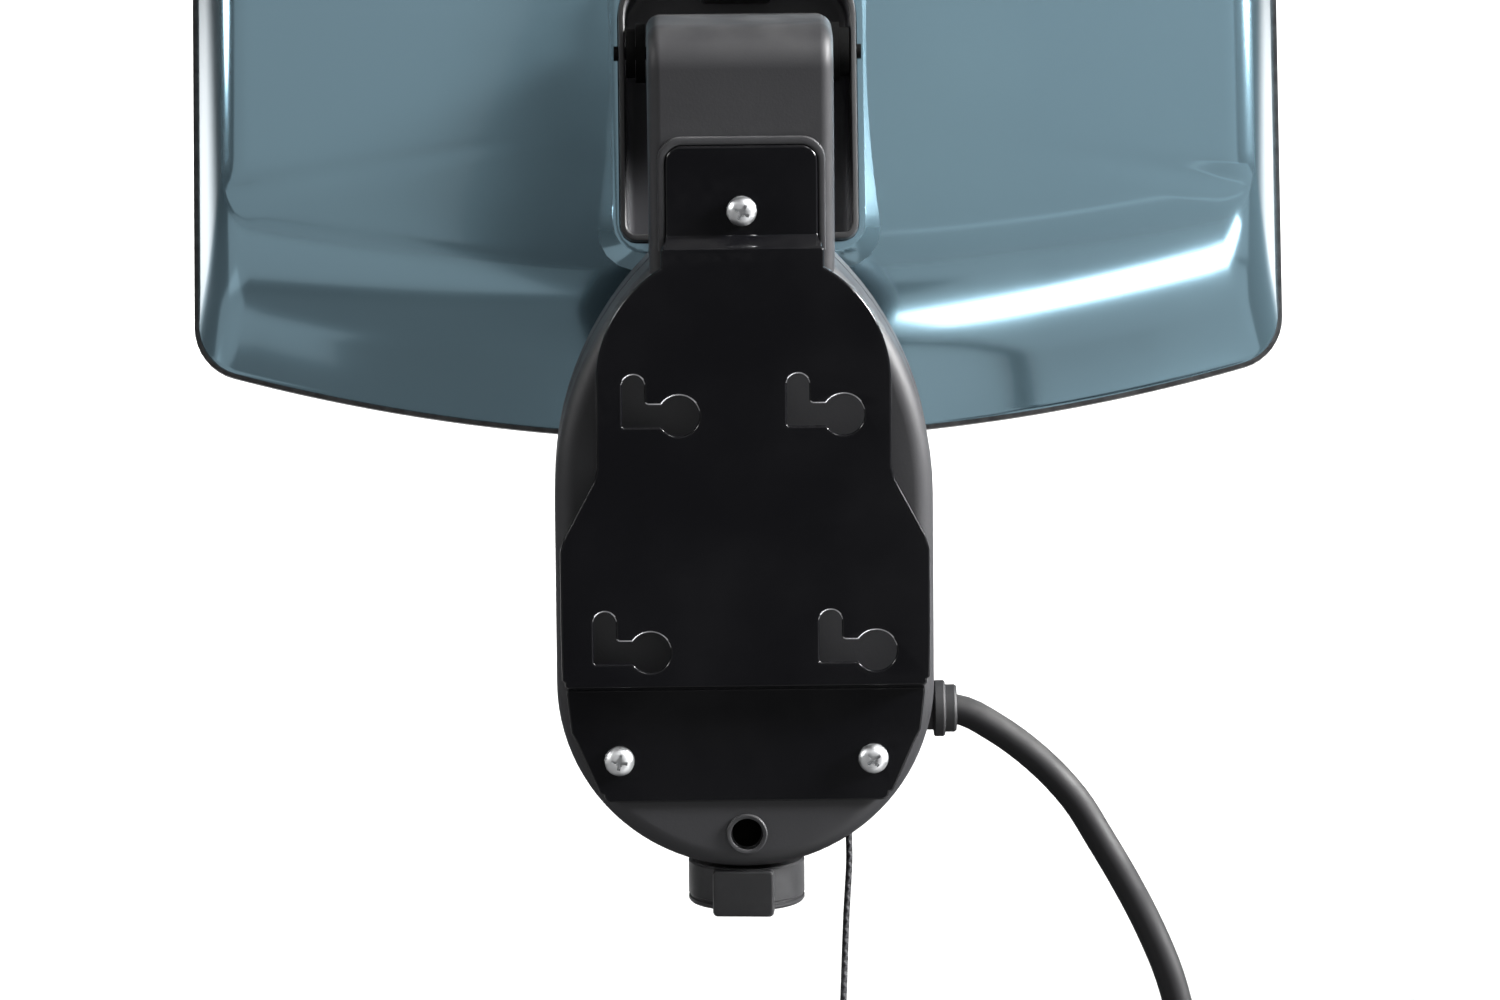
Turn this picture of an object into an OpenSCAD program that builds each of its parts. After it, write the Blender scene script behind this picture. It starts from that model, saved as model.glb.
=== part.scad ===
// Wall-mounted radiant heater: a steel wall plate carries a plastic switch housing
// whose neck holds a tilting enamelled hood with three quartz tubes.
// X runs along the wall, +Y points away from it and +Z is up.
// The origin lies on the wall face of the plate, in the middle of its keyholes.

/* [Wall plate] */
// Thickness of the plate's steel
plate_t = 1.5; // [1:0.1:2.5]
// How far the tab and the flange stand off the wall face
joggle = 8; // [6:0.5:10]
// Half width of the tab that goes up the neck
tab_hw = 22.6; // [20:0.5:24]
// Top of the tab
tab_top = 115.5; // [108:0.5:120]
// Half width of the upper field
field_hw = 43.8; // [38:0.5:48]
// Half width of the lower field
plate_hw = 55; // [50:0.5:56]
// Bottom edge of the flange
flange_bot = -83; // [-88:0.5:-78]
// Width of a keyhole's slot
slot_w = 6.7; // [5:0.1:8]
// Radius of a keyhole's round entry
entry_r = 6.15; // [5:0.05:7]
// Distance from the round entry to the hanging slot
slot_step = 13.5; // [12:0.1:15]
// Rise of the hanging slot above the entry
slot_rise = 12.4; // [9:0.1:15]
// Half height between the two rows of keyholes
row_z = 35.8; // [32:0.1:38]
// Spacing of the upper pair of keyholes
upper_pitch = 48.9; // [46:0.1:52]
// Spacing of the lower pair of keyholes
lower_pitch = 67.3; // [64:0.1:70]

/* [Housing] */
// Half width of the housing
house_hw = 56.5; // [55:0.5:60]
// Height of the centre of the round bottom
house_low = -48; // [-52:0.5:-44]
// Height where the sides start to draw in
house_mid = 9; // [4:0.5:14]
// Radius of the shoulders
shoulder_r = 98; // [92:1:110]
// Flat top of the two shells
house_top = 82; // [76:0.5:86]
// Front face of the housing
house_front = 50; // [48:0.5:52]
// Wall thickness of the shells
wall = 3; // [2:0.1:4]
// Thickness of the gasket between the shells
gasket_t = 1.2; // [0.8:0.1:2]
// Half width of the neck
neck_hw = 27.6; // [26:0.1:29]
// Top of the neck
neck_top = 150; // [147:0.5:152]
// Depth of the neck
neck_depth = 26.5; // [24:0.5:30]

/* [Hood] */
// Distance of the tilt axis from the wall
pivot_y = 85; // [82:0.5:95]
// Height of the tilt axis
pivot_z = 132; // [130:0.5:136]
// Rest angle of the hood, nose down
rest_tilt = 18; // [12:0.5:22]
// Radius of the neck's barrel
barrel_r = 11.7; // [10:0.1:13]
// Radius of the tilt pin
pin_r = 2; // [1.8:0.1:3]
// Half width of the hood at its rim
rim_hw = 166; // [160:0.5:175]
// Half height of the hood at its rim
rim_hh = 111; // [106:0.5:116]
// Radius of the bowed long edges
bow_r = 584; // [500:1:800]
// Corner radius of the rim
rim_corner = 15; // [10:0.5:20]
// Depth of the rim in front of the tilt axis
rim_d = 50; // [48:0.5:56]
// Thickness of the hood's steel
skin_t = 1.2; // [1:0.1:2]
// Room between the neck and each side of the pocket
side_room = 6.4; // [5.9:0.1:9]
// Bottom of the pocket, below the tilt axis
tub_low = -57.8; // [-62:0.2:-52]
// Top of the pocket, above the tilt axis
tub_high = 27; // [24:0.5:32]
// Wall thickness of the pocket
tub_t = 2; // [1.5:0.1:2.6]

/* [Heating] */
// Radius of a quartz tube
quartz_r = 5; // [4:0.1:6]
// Half length of a quartz tube
quartz_hl = 124; // [110:1:126]
// Spacing of the quartz tubes
quartz_pitch = 46; // [44:0.5:50]
// Radius of a reflector trough
trough_r = 17; // [15:0.5:18]
// Radius of a guard wire
wire_r = 1.2; // [1:0.1:1.5]
// Spacing of the guard wires
wire_pitch = 20; // [16:0.5:24]

/* [Controls] */
// Radius of the selector knob
knob_r = 17.5; // [15:0.5:19]
// Height of the selector knob
knob_h = 13; // [10:0.5:16]
// Radius of the selector shaft
shaft_r = 3; // [2.5:0.1:4]
// Distance of the pull cord from the middle
pull_x = 31; // [29:0.5:33]
// Diameter of the pull cord
pull_d = 2; // [1.6:0.1:2.4]
// Length of the pull toggle
toggle_h = 24; // [18:1:32]

/* [Supply cord] */
// Diameter of the supply cord
cord_d = 9; // [8:0.1:9]
// Height of the cord's gland
gland_z = -60; // [-62:0.5:-58]
// Outer coil radius, at the middle of the cord
coil_r = 61.6; // [58:0.1:64]
// Distance from one turn of the coil to the next
coil_pitch = 9.6; // [9.5:0.05:9.8]
// Turns in the coil
coil_turns = 5; // [3:1:5]

/* [Hidden] */
$fn = 48;

// Clearances
tub_hw = neck_hw + side_room + tub_t;
fit_gap = 0.05;   // a screw, pin or bush in its bore
part_gap = 0.3;   // two pieces that pass each other

// Depths, counted from the wall
house_rear = joggle + plate_t;
split_y = 30;
rear_end = split_y - gasket_t / 2;
front_start = split_y + gasket_t / 2;
inner_rear = house_rear + wall;
inner_front = house_front - wall;
neck_front = house_rear + neck_depth;

// ---------- shared shapes ----------

// A rod along Y from y0 to y1
module rod_y(x, z, r, y0, y1) {
  translate([x, y0, z]) rotate([-90, 0, 0]) cylinder(r = r, h = y1 - y0);
}

// A rod along X from x0 to x1
module rod_x(y, z, r, x0, x1) {
  translate([x0, y, z]) rotate([0, 90, 0]) cylinder(r = r, h = x1 - x0);
}

// A rod along Z from z0 to z1
module rod_z(x, y, r, z0, z1) {
  translate([x, y, z0]) cylinder(r = r, h = z1 - z0);
}

// A box between two opposite corners
module box(low, high) {
  translate(low) cube(high - low);
}

// An outline drawn in X and Z, thickened along +Y from y0 to y1
module slab(y0, y1) {
  translate([0, y1, 0]) rotate([90, 0, 0]) linear_extrude(y1 - y0) children();
}

// An outline drawn in Y and Z, thickened along X from x0 to x1
module slab_x(x0, x1) {
  translate([x0, 0, 0]) rotate([90, 0, 90]) linear_extrude(x1 - x0) children();
}

// A pan-head screw along +Y whose head rests at y, with a cross recess
module screw(x, z, y, r, length, head_r, head_h) {
  difference() {
    union() {
      rod_y(x, z, head_r, y - head_h, y);
      rod_y(x, z, r, y - 0.01, y + length);
    }
    for (turn = [0, 90])
      translate([x, y - head_h, z]) rotate([0, turn, 0])
        cube([head_r * 1.1, head_h, head_r * 0.25], center = true);
  }
}

// A rectangle with round corners, from its low corner to its high corner
module round_rect(low, high, r) {
  translate([low[0], low[1] + r]) square([high[0] - low[0], high[1] - low[1] - 2 * r]);
  translate([low[0] + r, low[1]]) square([high[0] - low[0] - 2 * r, high[1] - low[1]]);
  for (x = [low[0] + r, high[0] - r], z = [low[1] + r, high[1] - r])
    translate([x, z]) circle(r);
}

// ---------- wall plate ----------

flange_screw = [38, -70.3];
plate_screw_r = 2.5;
field_top = 86;
shoulder = 39.7;
shoulder_z = 46;
strip_hw = 24.1;
field_low = -46;
tab_bend = field_top + 2.5;
tab_screw_z = tab_bend + 7.5;
flange_top = -49;

// One L keyhole: a round entry, a level slot and a hanging slot that goes up
module keyhole(x, z) {
  translate([x, z]) {
    circle(entry_r);
    translate([-slot_step, -slot_w / 2]) square([slot_step, slot_w]);
    translate([-slot_step - slot_w / 2, 0]) square([slot_w, slot_rise - slot_w / 2]);
    translate([-slot_step, 0]) circle(slot_w / 2);
    translate([-slot_step, slot_rise - slot_w / 2]) circle(slot_w / 2);
  }
}

keyhole_x = 5.2;
keyholes = [for (side = [-1, 1], row = [[upper_pitch, row_z], [lower_pitch, -row_z]])
  [keyhole_x + side * row[0] / 2, row[1]]];

module plate_field() {
  difference() {
    union() {
      // The shoulders are round between the tab and the field
      for (side = [-1, 1]) translate([side * (field_hw - shoulder), shoulder_z])
        circle(shoulder, $fn = 96);
      translate([-strip_hw, 0]) square([2 * strip_hw, field_top]);
      translate([-field_hw, 0]) square([2 * field_hw, shoulder_z]);
      polygon([[-field_hw, 17], [-plate_hw, -3], [-plate_hw, field_low],
               [plate_hw, field_low], [plate_hw, -3], [field_hw, 17]]);
    }
    for (k = keyholes) keyhole(k[0], k[1]);
  }
}

module mount_plate() {
  color([0.08, 0.08, 0.085]) difference() {
    union() {
      slab(0, plate_t) plate_field();
      // Upper bend from the field out to the tab
      slab_x(-tab_hw, tab_hw)
        polygon([[0, field_top - 1], [plate_t, field_top - 2.5],
                 [joggle + plate_t, tab_bend - 0.5],
                 [joggle + plate_t, tab_bend + 1.5], [joggle, tab_bend + 1.5]]);
      slab(joggle, joggle + plate_t)
        round_rect([-tab_hw, tab_bend], [tab_hw, tab_top], 5);
      // Lower bend from the field out to the flange
      slab_x(-plate_hw + 1.2, plate_hw - 1.2)
        polygon([[0, field_low], [plate_t, field_low + 1.5],
                 [joggle + plate_t, flange_top + 1],
                 [joggle + plate_t, flange_top - 1], [joggle, flange_top - 1]]);
      slab(joggle, joggle + plate_t)
        polygon([[-53.8, flange_top], [-52.3, -61.7], [-42.3, flange_bot],
                 [42.3, flange_bot], [52.3, -61.7], [53.8, flange_top]]);
    }
    rod_y(0, tab_screw_z, plate_screw_r + fit_gap, joggle - 1, joggle + plate_t + 1);
    for (side = [-1, 1])
      rod_y(side * flange_screw[0], flange_screw[1], plate_screw_r + fit_gap,
            joggle - 1, joggle + plate_t + 1);
  }
}

module plate_screws() {
  color([0.75, 0.76, 0.78]) {
    screw(0, tab_screw_z, joggle, plate_screw_r, 14, 4.5, 3.2);
    for (side = [-1, 1])
      screw(side * flange_screw[0], flange_screw[1], joggle, plate_screw_r, 12, 4.5, 3.2);
  }
}

// ---------- housing ----------

// Outline of the housing, drawn in by the given amount
module house_outline(inset) {
  shoulder_x = shoulder_r - house_hw;
  translate([0, house_low]) circle(house_hw - inset, $fn = 96);
  translate([inset - house_hw, house_low])
    square([2 * (house_hw - inset), house_mid - house_low]);
  intersection() {
    translate([shoulder_x, house_mid]) circle(shoulder_r - inset, $fn = 160);
    translate([-shoulder_x, house_mid]) circle(shoulder_r - inset, $fn = 160);
    translate([-house_hw, house_mid]) square([2 * house_hw, house_top - inset - house_mid]);
  }
}

// The two shells' outer form between y0 and y1; the edge at y_edge is eased
module house_block(y0, y1, y_edge) {
  sign = y_edge == y0 ? 1 : -1;
  steps = [[0, 1, 3], [1, 3, 1.2]];
  for (s = steps)
    slab(min(y_edge + sign * s[0], y_edge + sign * s[1]),
         max(y_edge + sign * s[0], y_edge + sign * s[1]))
      house_outline(s[2]);
  slab(sign > 0 ? y0 + 3 : y0, sign > 0 ? y1 : y1 - 3) house_outline(0);
}

// Side view of the neck, in Y and Z
module neck_side(inset) {
  // The neck goes up, over and forward to the barrel
  rear = house_rear + inset;
  front = neck_front - inset;
  top = neck_top - inset;
  polygon([[rear, house_top - 20], [rear, top - 5], [rear + 1.5, top - 1.5],
           [rear + 5, top], [neck_front + 3, top],
           [pivot_y - inset * 2, pivot_z + barrel_r - inset - inset * 0.3],
           [pivot_y - inset * 2, pivot_z - barrel_r + inset * 1.3],
           [neck_front + 10, house_top + 30 + inset],
           [neck_front + 2 - inset, house_top + 20 + inset],
           [front, house_top + 10], [front, house_top - 20]]);
}

selector_boss_z = -93.5;
boss_r = 6.15;
boss_bore = 4.8;
selector_screw_r = 2;
cover_screws = [[44, -20], [-44, -20], [28, 60], [-28, 60]];
cover_screw_r = 2;
clamp_x = [41, 47];
clamp_z = [gland_z - 9, gland_z + 9];
eyelet_r = 3.2;
bush_r = 5;
gland_r = 6.5;
neck_bore_hw = 23;

// What passes through the shells and their gasket
module shell_bores() {
  rod_x(split_y, gland_z, gland_r + fit_gap, house_hw - 12, house_hw + 5);
  rod_z(0, split_y, bush_r + fit_gap, house_low - house_hw - 5, house_low - house_hw + 8);
  rod_z(pull_x, split_y, eyelet_r + fit_gap, house_low - house_hw - 5, house_low - 35);
  for (s = cover_screws)
    rod_y(s[0], s[1], cover_screw_r + fit_gap, inner_rear - 0.5, inner_front - 2);
}

module rear_shell() {
  color([0.2, 0.2, 0.22]) difference() {
    union() {
      difference() {
        house_block(house_rear, rear_end, house_rear);
        slab(inner_rear, rear_end + 1) house_outline(wall);
      }
      // Neck and barrel, above the shells
      difference() {
        slab_x(-neck_hw, neck_hw) neck_side(0);
        box([-neck_hw - 1, rear_end, house_top - 30],
            [neck_hw + 1, neck_front + 20, house_top + part_gap]);
      }
      rod_x(pivot_y, pivot_z, barrel_r, -neck_hw, neck_hw);
      // Raised lip round the plate's tab
      slab(joggle, house_rear + 0.5) difference() {
        round_rect([-neck_hw, tab_bend], [neck_hw, neck_top - 5], 3);
        round_rect([-tab_hw - 1, tab_bend - 10], [tab_hw + 1, tab_top + 1.5], 6);
      }
      // Posts for the cover screws, the cord clamp and the plate screws
      for (s = cover_screws) rod_y(s[0], s[1], 5, house_rear + 1, rear_end - part_gap);
      for (z = clamp_z) rod_y((clamp_x[0] + clamp_x[1]) / 2, z, 3, inner_rear - 1, 22);
      for (side = [-1, 1])
        rod_y(side * flange_screw[0], flange_screw[1], 5, inner_rear - 1, 21.7);
      rod_y(0, selector_boss_z, boss_r, house_rear - 0.8, 15.8);
    }
    // The neck's cable way opens into the housing
    slab_x(-neck_bore_hw, neck_bore_hw) difference() {
      neck_side(wall);
      translate([pivot_y - 16, pivot_z - 20]) square([40, 40]);
    }
    box([-neck_bore_hw, inner_rear, house_top - 30], [neck_bore_hw, rear_end + 1, house_top - 2]);
    rod_x(pivot_y, pivot_z, pin_r + fit_gap, -neck_hw - 1, neck_hw + 1);
    shell_bores();
    for (s = cover_screws) rod_y(s[0], s[1], 3.9, house_rear - 1, inner_rear);
    for (z = clamp_z)
      rod_y((clamp_x[0] + clamp_x[1]) / 2, z, 1.5 + fit_gap, inner_rear + 0.5, 23);
    rod_y(0, tab_screw_z, plate_screw_r + fit_gap, house_rear - 1, house_rear + 14);
    for (side = [-1, 1])
      rod_y(side * flange_screw[0], flange_screw[1], plate_screw_r + fit_gap,
            house_rear - 1, house_rear + 12);
    rod_y(0, selector_boss_z, boss_bore, house_rear - 2, inner_rear + 1.3);
    rod_y(0, selector_boss_z, selector_screw_r + fit_gap, inner_rear, 17);
  }
}

module front_shell() {
  color([0.2, 0.2, 0.22]) difference() {
    union() {
      difference() {
        house_block(front_start, house_front, house_front);
        slab(front_start - 1, inner_front) house_outline(wall);
      }
      for (s = cover_screws) rod_y(s[0], s[1], 5, front_start + part_gap, inner_front + 1);
    }
    shell_bores();
  }
}

module shell_gasket() {
  color([0.05, 0.05, 0.05]) difference() {
    slab(rear_end, front_start) difference() {
      house_outline(0.6);
      house_outline(wall - 0.6);
    }
    shell_bores();
  }
}

module housing_screws() {
  color([0.7, 0.71, 0.73]) {
    for (s = cover_screws) screw(s[0], s[1], inner_rear, cover_screw_r, 30, 3.6, 2.2);
    screw(0, selector_boss_z, inner_rear + 1.3, selector_screw_r, 8, 3.8, 2.4);
  }
}

// ---------- supply entry and terminals ----------

gland_out = [house_hw + part_gap, house_hw + 3.6, house_hw + 7.2];

module cable_gland() {
  color([0.06, 0.06, 0.06]) difference() {
    union() {
      rod_x(split_y, gland_z, gland_r, house_hw - 7.5, gland_out[0] + 0.1);
      rod_x(split_y, gland_z, 8.5, gland_out[0], gland_out[1]);
      rod_x(split_y, gland_z, 7.2, gland_out[1] - 0.1, gland_out[2]);
      rod_x(split_y, gland_z, 8.2, house_hw - 10.4, house_hw - 7.4);
    }
    rod_x(split_y, gland_z, cord_d / 2 + fit_gap, house_hw - 20, house_hw + 20);
  }
}

module cord_clamp() {
  mid = (clamp_x[0] + clamp_x[1]) / 2;
  color([0.85, 0.85, 0.82]) difference() {
    box([clamp_x[0], 22, gland_z - 12.5], [clamp_x[1] - 1.5, 38, gland_z + 12.5]);
    rod_x(split_y, gland_z, cord_d / 2 + fit_gap, clamp_x[0] - 1, clamp_x[1] + 1);
    for (z = clamp_z) rod_y(mid, z, 1.5 + fit_gap, 21, 39);
  }
}

module clamp_screws() {
  mid = (clamp_x[0] + clamp_x[1]) / 2;
  color([0.7, 0.71, 0.73])
    for (z = clamp_z) translate([0, 2 * 38, 0]) mirror([0, 1, 0])
      screw(mid, z, 38, 1.5, 22, 2.6, 2);
}

block_low = [-44, inner_rear, -64.8];
block_high = [-16, 28, -48];
block_ways = 3;

module terminal_block() {
  color([0.9, 0.9, 0.86]) difference() {
    box(block_low, block_high);
    for (i = [0 : block_ways - 1]) {
      x = block_low[0] + (i + 0.5) * (block_high[0] - block_low[0]) / block_ways;
      rod_z(x, 20, 2.2, block_low[2] - 1, block_high[2] + 1);
      rod_y(x, -61, 1.8 + fit_gap, 23, 29);
      rod_y(x, -53, 1.8 + fit_gap, 23, 29);
    }
  }
}

module terminal_screws() {
  color([0.75, 0.65, 0.35])
    for (i = [0 : block_ways - 1], z = [-61, -53]) {
      x = block_low[0] + (i + 0.5) * (block_high[0] - block_low[0]) / block_ways;
      rod_y(x, z, 1.8, 23, 27.6);
    }
}

// ---------- pull switch ----------

lever_x = 11;
lever_z = -62;
lever_t = 2;
lever_hub = 4.5;
lever_pin_r = 1.5;
lever_hw = 3.5;
fork_hw = 1.5;
lever_tip = pull_x + 3.5;
body_y = split_y + lever_hw + 0.5;

module switch_body() {
  color([0.12, 0.12, 0.13]) difference() {
    box([4, body_y, -69], [26, inner_front, -44]);
    rod_y(lever_x, lever_z, lever_pin_r + fit_gap, body_y - 1, body_y + 8);
  }
}

module lever_pin() {
  color([0.7, 0.7, 0.72]) {
    rod_y(lever_x, lever_z, lever_pin_r, split_y - 9, body_y + 7.8);
    rod_y(lever_x, lever_z, 2.6, split_y - 10.5, split_y - 8.9);
  }
}

module return_spring() {
  color([0.6, 0.6, 0.62]) difference() {
    rod_y(lever_x, lever_z, 3.2, split_y - 8.4, split_y - lever_hw - part_gap);
    rod_y(lever_x, lever_z, lever_pin_r + part_gap, split_y - 9, split_y);
  }
}

module switch_lever() {
  color([0.85, 0.85, 0.8]) difference() {
    union() {
      rod_y(lever_x, lever_z, lever_hub, split_y - lever_hw, split_y + lever_hw);
      box([lever_x, split_y - lever_hw, lever_z - lever_t],
          [lever_tip, split_y + lever_hw, lever_z + lever_t]);
    }
    rod_y(lever_x, lever_z, lever_pin_r + fit_gap, split_y - 5, split_y + 5);
    box([pull_x - 3.5, split_y - fork_hw, lever_z - 5],
        [lever_tip + 1, split_y + fork_hw, lever_z + 5]);
  }
}

module cord_eyelet() {
  color([0.1, 0.1, 0.1]) difference() {
    union() {
      rod_z(pull_x, split_y, eyelet_r, -96.4, -87.5);
      rod_z(pull_x, split_y, 4.4, -87.6, -86);
    }
    rod_z(pull_x, split_y, pull_d / 2 + 0.7, -100, -85);
  }
}

// Route of the pull cord in X and Z; the lean is the cord's own
pull_route = [[31, -56], [31, -70], [31, -80], [31, -90], [31, -100], [31, -108],
  [30, -125], [29, -150], [28, -175], [27, -200], [26, -225], [25, -250],
  [24, -275], [23, -300], [22, -325], [22, -330]];
toggle_top = -331;

module pull_cord() {
  color([0.2, 0.2, 0.22])
    sweep([for (p = pull_route) [p[0] + pull_x - 31, split_y, p[1]]], pull_d / 2, 8);
}

stop_r = 2.6;

module pull_stop() {
  color([0.2, 0.2, 0.22])
    difference() {
      rod_z(pull_x, split_y, stop_r, lever_z + lever_t + part_gap, lever_z + lever_t + 5);
      rod_z(pull_x, split_y, pull_d / 2 + fit_gap, lever_z, lever_z + 8);
    }
}

module pull_toggle() {
  x = 22 + pull_x - 31;
  color([0.1, 0.1, 0.11]) difference() {
    translate([x, split_y, toggle_top + 6]) rotate_extrude()
      polygon([[0, 0], [2.2, 0], [3.2, -1.5], [4.2, -6], [5.8, 1.5 - toggle_h + 4],
               [6, 0 - toggle_h + 3], [5, -toggle_h], [0, -toggle_h]]);
    rod_z(x, split_y, pull_d / 2 + fit_gap, -331, -320);
  }
}

// ---------- heat selector ----------

selector_low = -96;
knob_top = house_low - house_hw - 0.6;

module selector_switch() {
  color([0.15, 0.15, 0.16]) difference() {
    box([-15, 16, selector_low], [15, 44, -73]);
    rod_y(0, selector_boss_z, selector_screw_r + fit_gap, 15, 23);
    rod_z(0, split_y, shaft_r + fit_gap, selector_low - 1, -84);
  }
}

module shaft_bush() {
  color([0.75, 0.7, 0.55]) difference() {
    rod_z(0, split_y, bush_r, house_low - house_hw + 0.2, selector_low - part_gap);
    rod_z(0, split_y, shaft_r + fit_gap, -110, -90);
  }
}

module selector_shaft() {
  color([0.75, 0.75, 0.77]) rod_z(0, split_y, shaft_r, knob_top - 9, -84.3);
}

bar_turn = 4;

module selector_knob() {
  color([0.16, 0.16, 0.17]) difference() {
    union() {
      rod_z(0, split_y, knob_r, knob_top - knob_h, knob_top);
      // Full-height grip bar across the knob, a little off square at rest
      translate([0, split_y, 0]) rotate([0, 0, -bar_turn])
        box([-8, -knob_r - 1, knob_top - knob_h - 1.6], [8, knob_r - 4, knob_top - 1.5]);
    }
    rod_z(0, split_y, shaft_r + fit_gap, knob_top - 9.2, knob_top + 1);
  }
}

// ---------- cable in the neck ----------

neck_cable_r = 2.5;

module neck_cable() {
  y = 20;
  color([0.85, 0.85, 0.85]) {
    rod_z(-30, y, neck_cable_r, block_high[2], 40);
    translate([-30, y, 40]) sphere(neck_cable_r + 0.15, $fn = 24);
    rod_x(y, 40, neck_cable_r, -30, -8);
    translate([-8, y, 40]) sphere(neck_cable_r + 0.15, $fn = 24);
    rod_z(-8, y, neck_cable_r, 40, 135);
    translate([-8, y, 135]) sphere(neck_cable_r + 0.15, $fn = 24);
    rod_y(-8, 135, neck_cable_r, y, pivot_y - 17);
  }
}

// ---------- hood ----------

// Puts a hood piece, drawn with Y forward and Z up, at the tilt axis
module on_hood() {
  translate([0, pivot_y, pivot_z]) rotate([-rest_tilt, 0, 0]) children();
}

// A quarter of an outline with bowed long edges, from the side to the top
function bow_quarter(a, b, r, corner, k, m) =
  let (turn = asin((a - corner) / (r - corner)),
       low = b - r + sqrt(pow(r - corner, 2) - pow(a - corner, 2)))
  concat([[a, 0]],
    [for (i = [0 : k]) let (f = i / k * (90 - turn))
      [a - corner + corner * cos(f), low + corner * sin(f)]],
    [for (i = [1 : m]) let (p = turn * (1 - i / m)) [r * sin(p), b - r + r * cos(p)]]);

// The whole outline, anticlockwise
function bow_outline(a, b, r, corner, k = 4, m = 6) =
  let (q = bow_quarter(a, b, r, corner, k, m), n = len(q))
  concat(q,
    [for (i = [n - 2 : -1 : 0]) [-q[i][0], q[i][1]]],
    [for (i = [1 : n - 1]) [-q[i][0], -q[i][1]]],
    [for (i = [n - 2 : -1 : 1]) [q[i][0], -q[i][1]]]);

// Depth of the hood's crowned back behind the rim
back_d = 0.5;
crown_x = 1125;
crown_w = 435;
function back(x, w) = back_d + x * x / (2 * crown_x) + w * w / (2 * crown_w);

// Levels of the hood from the middle of its back to its rim:
// how far each lies in from the rim, its share of the back and its way to the rim
back_in = [18, 38.7];
levels = [[back_in[0], back_in[1], 0.3, 0], [back_in[0], back_in[1], 0.6, 0],
  [back_in[0], back_in[1], 0.85, 0], [back_in[0], back_in[1], 1, 0],
  [back_in[0] - 3.5, back_in[1] - 3.5, 1, 0.03], [back_in[0] - 6, back_in[1] - 7, 1, 0.1],
  [back_in[0] - 8, back_in[1] - 11, 1, 0.2], [0, 0, 1, 1]];

function level_ring(l, inner) =
  let (in = inner ? skin_t : 0)
  [for (p = bow_outline(rim_hw - l[0] - in, rim_hh - l[1] - in, bow_r - l[1], rim_corner))
    let (x = p[0] * l[2], w = p[1] * l[2],
         d = (1 - l[3]) * back(x, w) + l[3] * rim_d)
    [x, d + (l[3] < 1 ? in : 0), w]];

function quad_faces(n, a, b) = [for (j = [0 : n - 1]) let (k = (j + 1) % n)
  each [[a + j, a + k, b + k], [a + j, b + k, b + j]]];

module hood_pan() {
  rings = concat([for (l = levels) level_ring(l, false)],
                 [for (i = [len(levels) - 1 : -1 : 0]) level_ring(levels[i], true)]);
  n = len(rings[0]);
  last = len(rings) - 1;
  points = concat([for (r = rings) each r],
                  [[0, back_d, 0], [0, back_d + skin_t, 0]]);
  faces = concat(
    [for (i = [0 : last - 1]) each quad_faces(n, i * n, (i + 1) * n)],
    [for (j = [0 : n - 1]) [len(points) - 2, (j + 1) % n, j]],
    [for (j = [0 : n - 1]) [len(points) - 1, last * n + j, last * n + (j + 1) % n]]);
  polyhedron(points, faces);
}

tub_rear = -3.5;
tub_floor = 18;
pad_rear = 0.2;
pad_front = 8;
pad_hw = tub_hw + 9;
pad_low = -66;
pad_high = 50;
tub_screw_at = [for (side = [-1, 1], w = [-50, 20]) [side * (tub_hw + 4.5), w]];
tub_screw_r = 1.5;
cap_h = 1.5;

module tub_outline(inset) {
  r_low = max(5 - inset, 1);
  r_high = max(16 - inset, 1);
  intersection() {
    round_rect([-tub_hw + inset, tub_low + inset], [tub_hw - inset, tub_high + 60], r_low);
    round_rect([-tub_hw + inset, tub_low - 60], [tub_hw - inset, tub_high - inset], r_high);
  }
}

module hood_shell() {
  color([0.46, 0.57, 0.63]) on_hood() difference() {
    union() {
      hood_pan();
      slab(pad_rear, pad_front) round_rect([-pad_hw, pad_low], [pad_hw, pad_high], 7);
    }
    slab(-20, 20) tub_outline(-part_gap);
    for (side = [-1, 1])
      box([side > 0 ? tub_hw - 1 : -tub_hw - cap_h - 1, -5, -pin_r - 1.2],
          [side > 0 ? tub_hw + cap_h + 1 : 1 - tub_hw, pin_r + 1.2, pin_r + 1.2]);
    for (s = tub_screw_at)
      rod_y(s[0], s[1], tub_screw_r + fit_gap, pad_front - 5, pad_front + 1);
  }
}

module pocket_tub() {
  color([0.07, 0.07, 0.075]) on_hood() difference() {
    union() {
      slab(tub_rear, tub_floor + tub_t) tub_outline(0);
      slab(pad_front, pad_front + 2)
        round_rect([-pad_hw, tub_low - 5], [pad_hw, tub_high + 8], 5);
    }
    slab(tub_rear - 1, tub_floor) tub_outline(tub_t);
    rod_x(0, 0, pin_r + fit_gap, -tub_hw - 1, tub_hw + 1);
    for (s = tub_screw_at)
      rod_y(s[0], s[1], tub_screw_r + fit_gap, pad_front - 1, pad_front + 3);
  }
}

module tub_screws() {
  color([0.7, 0.71, 0.73]) on_hood()
    for (s = tub_screw_at) translate([0, 2 * (pad_front + 2), 0]) mirror([0, 1, 0])
      screw(s[0], s[1], pad_front + 2, tub_screw_r, 6, 2.8, 2);
}

module tilt_pin() {
  color([0.1, 0.1, 0.1]) on_hood() rod_x(0, 0, pin_r, -tub_hw, tub_hw);
}

module pin_caps() {
  color([0.06, 0.06, 0.06]) on_hood() {
    rod_x(0, 0, pin_r + 0.2, tub_hw, tub_hw + cap_h);
    rod_x(0, 0, pin_r + 0.2, -tub_hw - cap_h, -tub_hw);
  }
}

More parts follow.
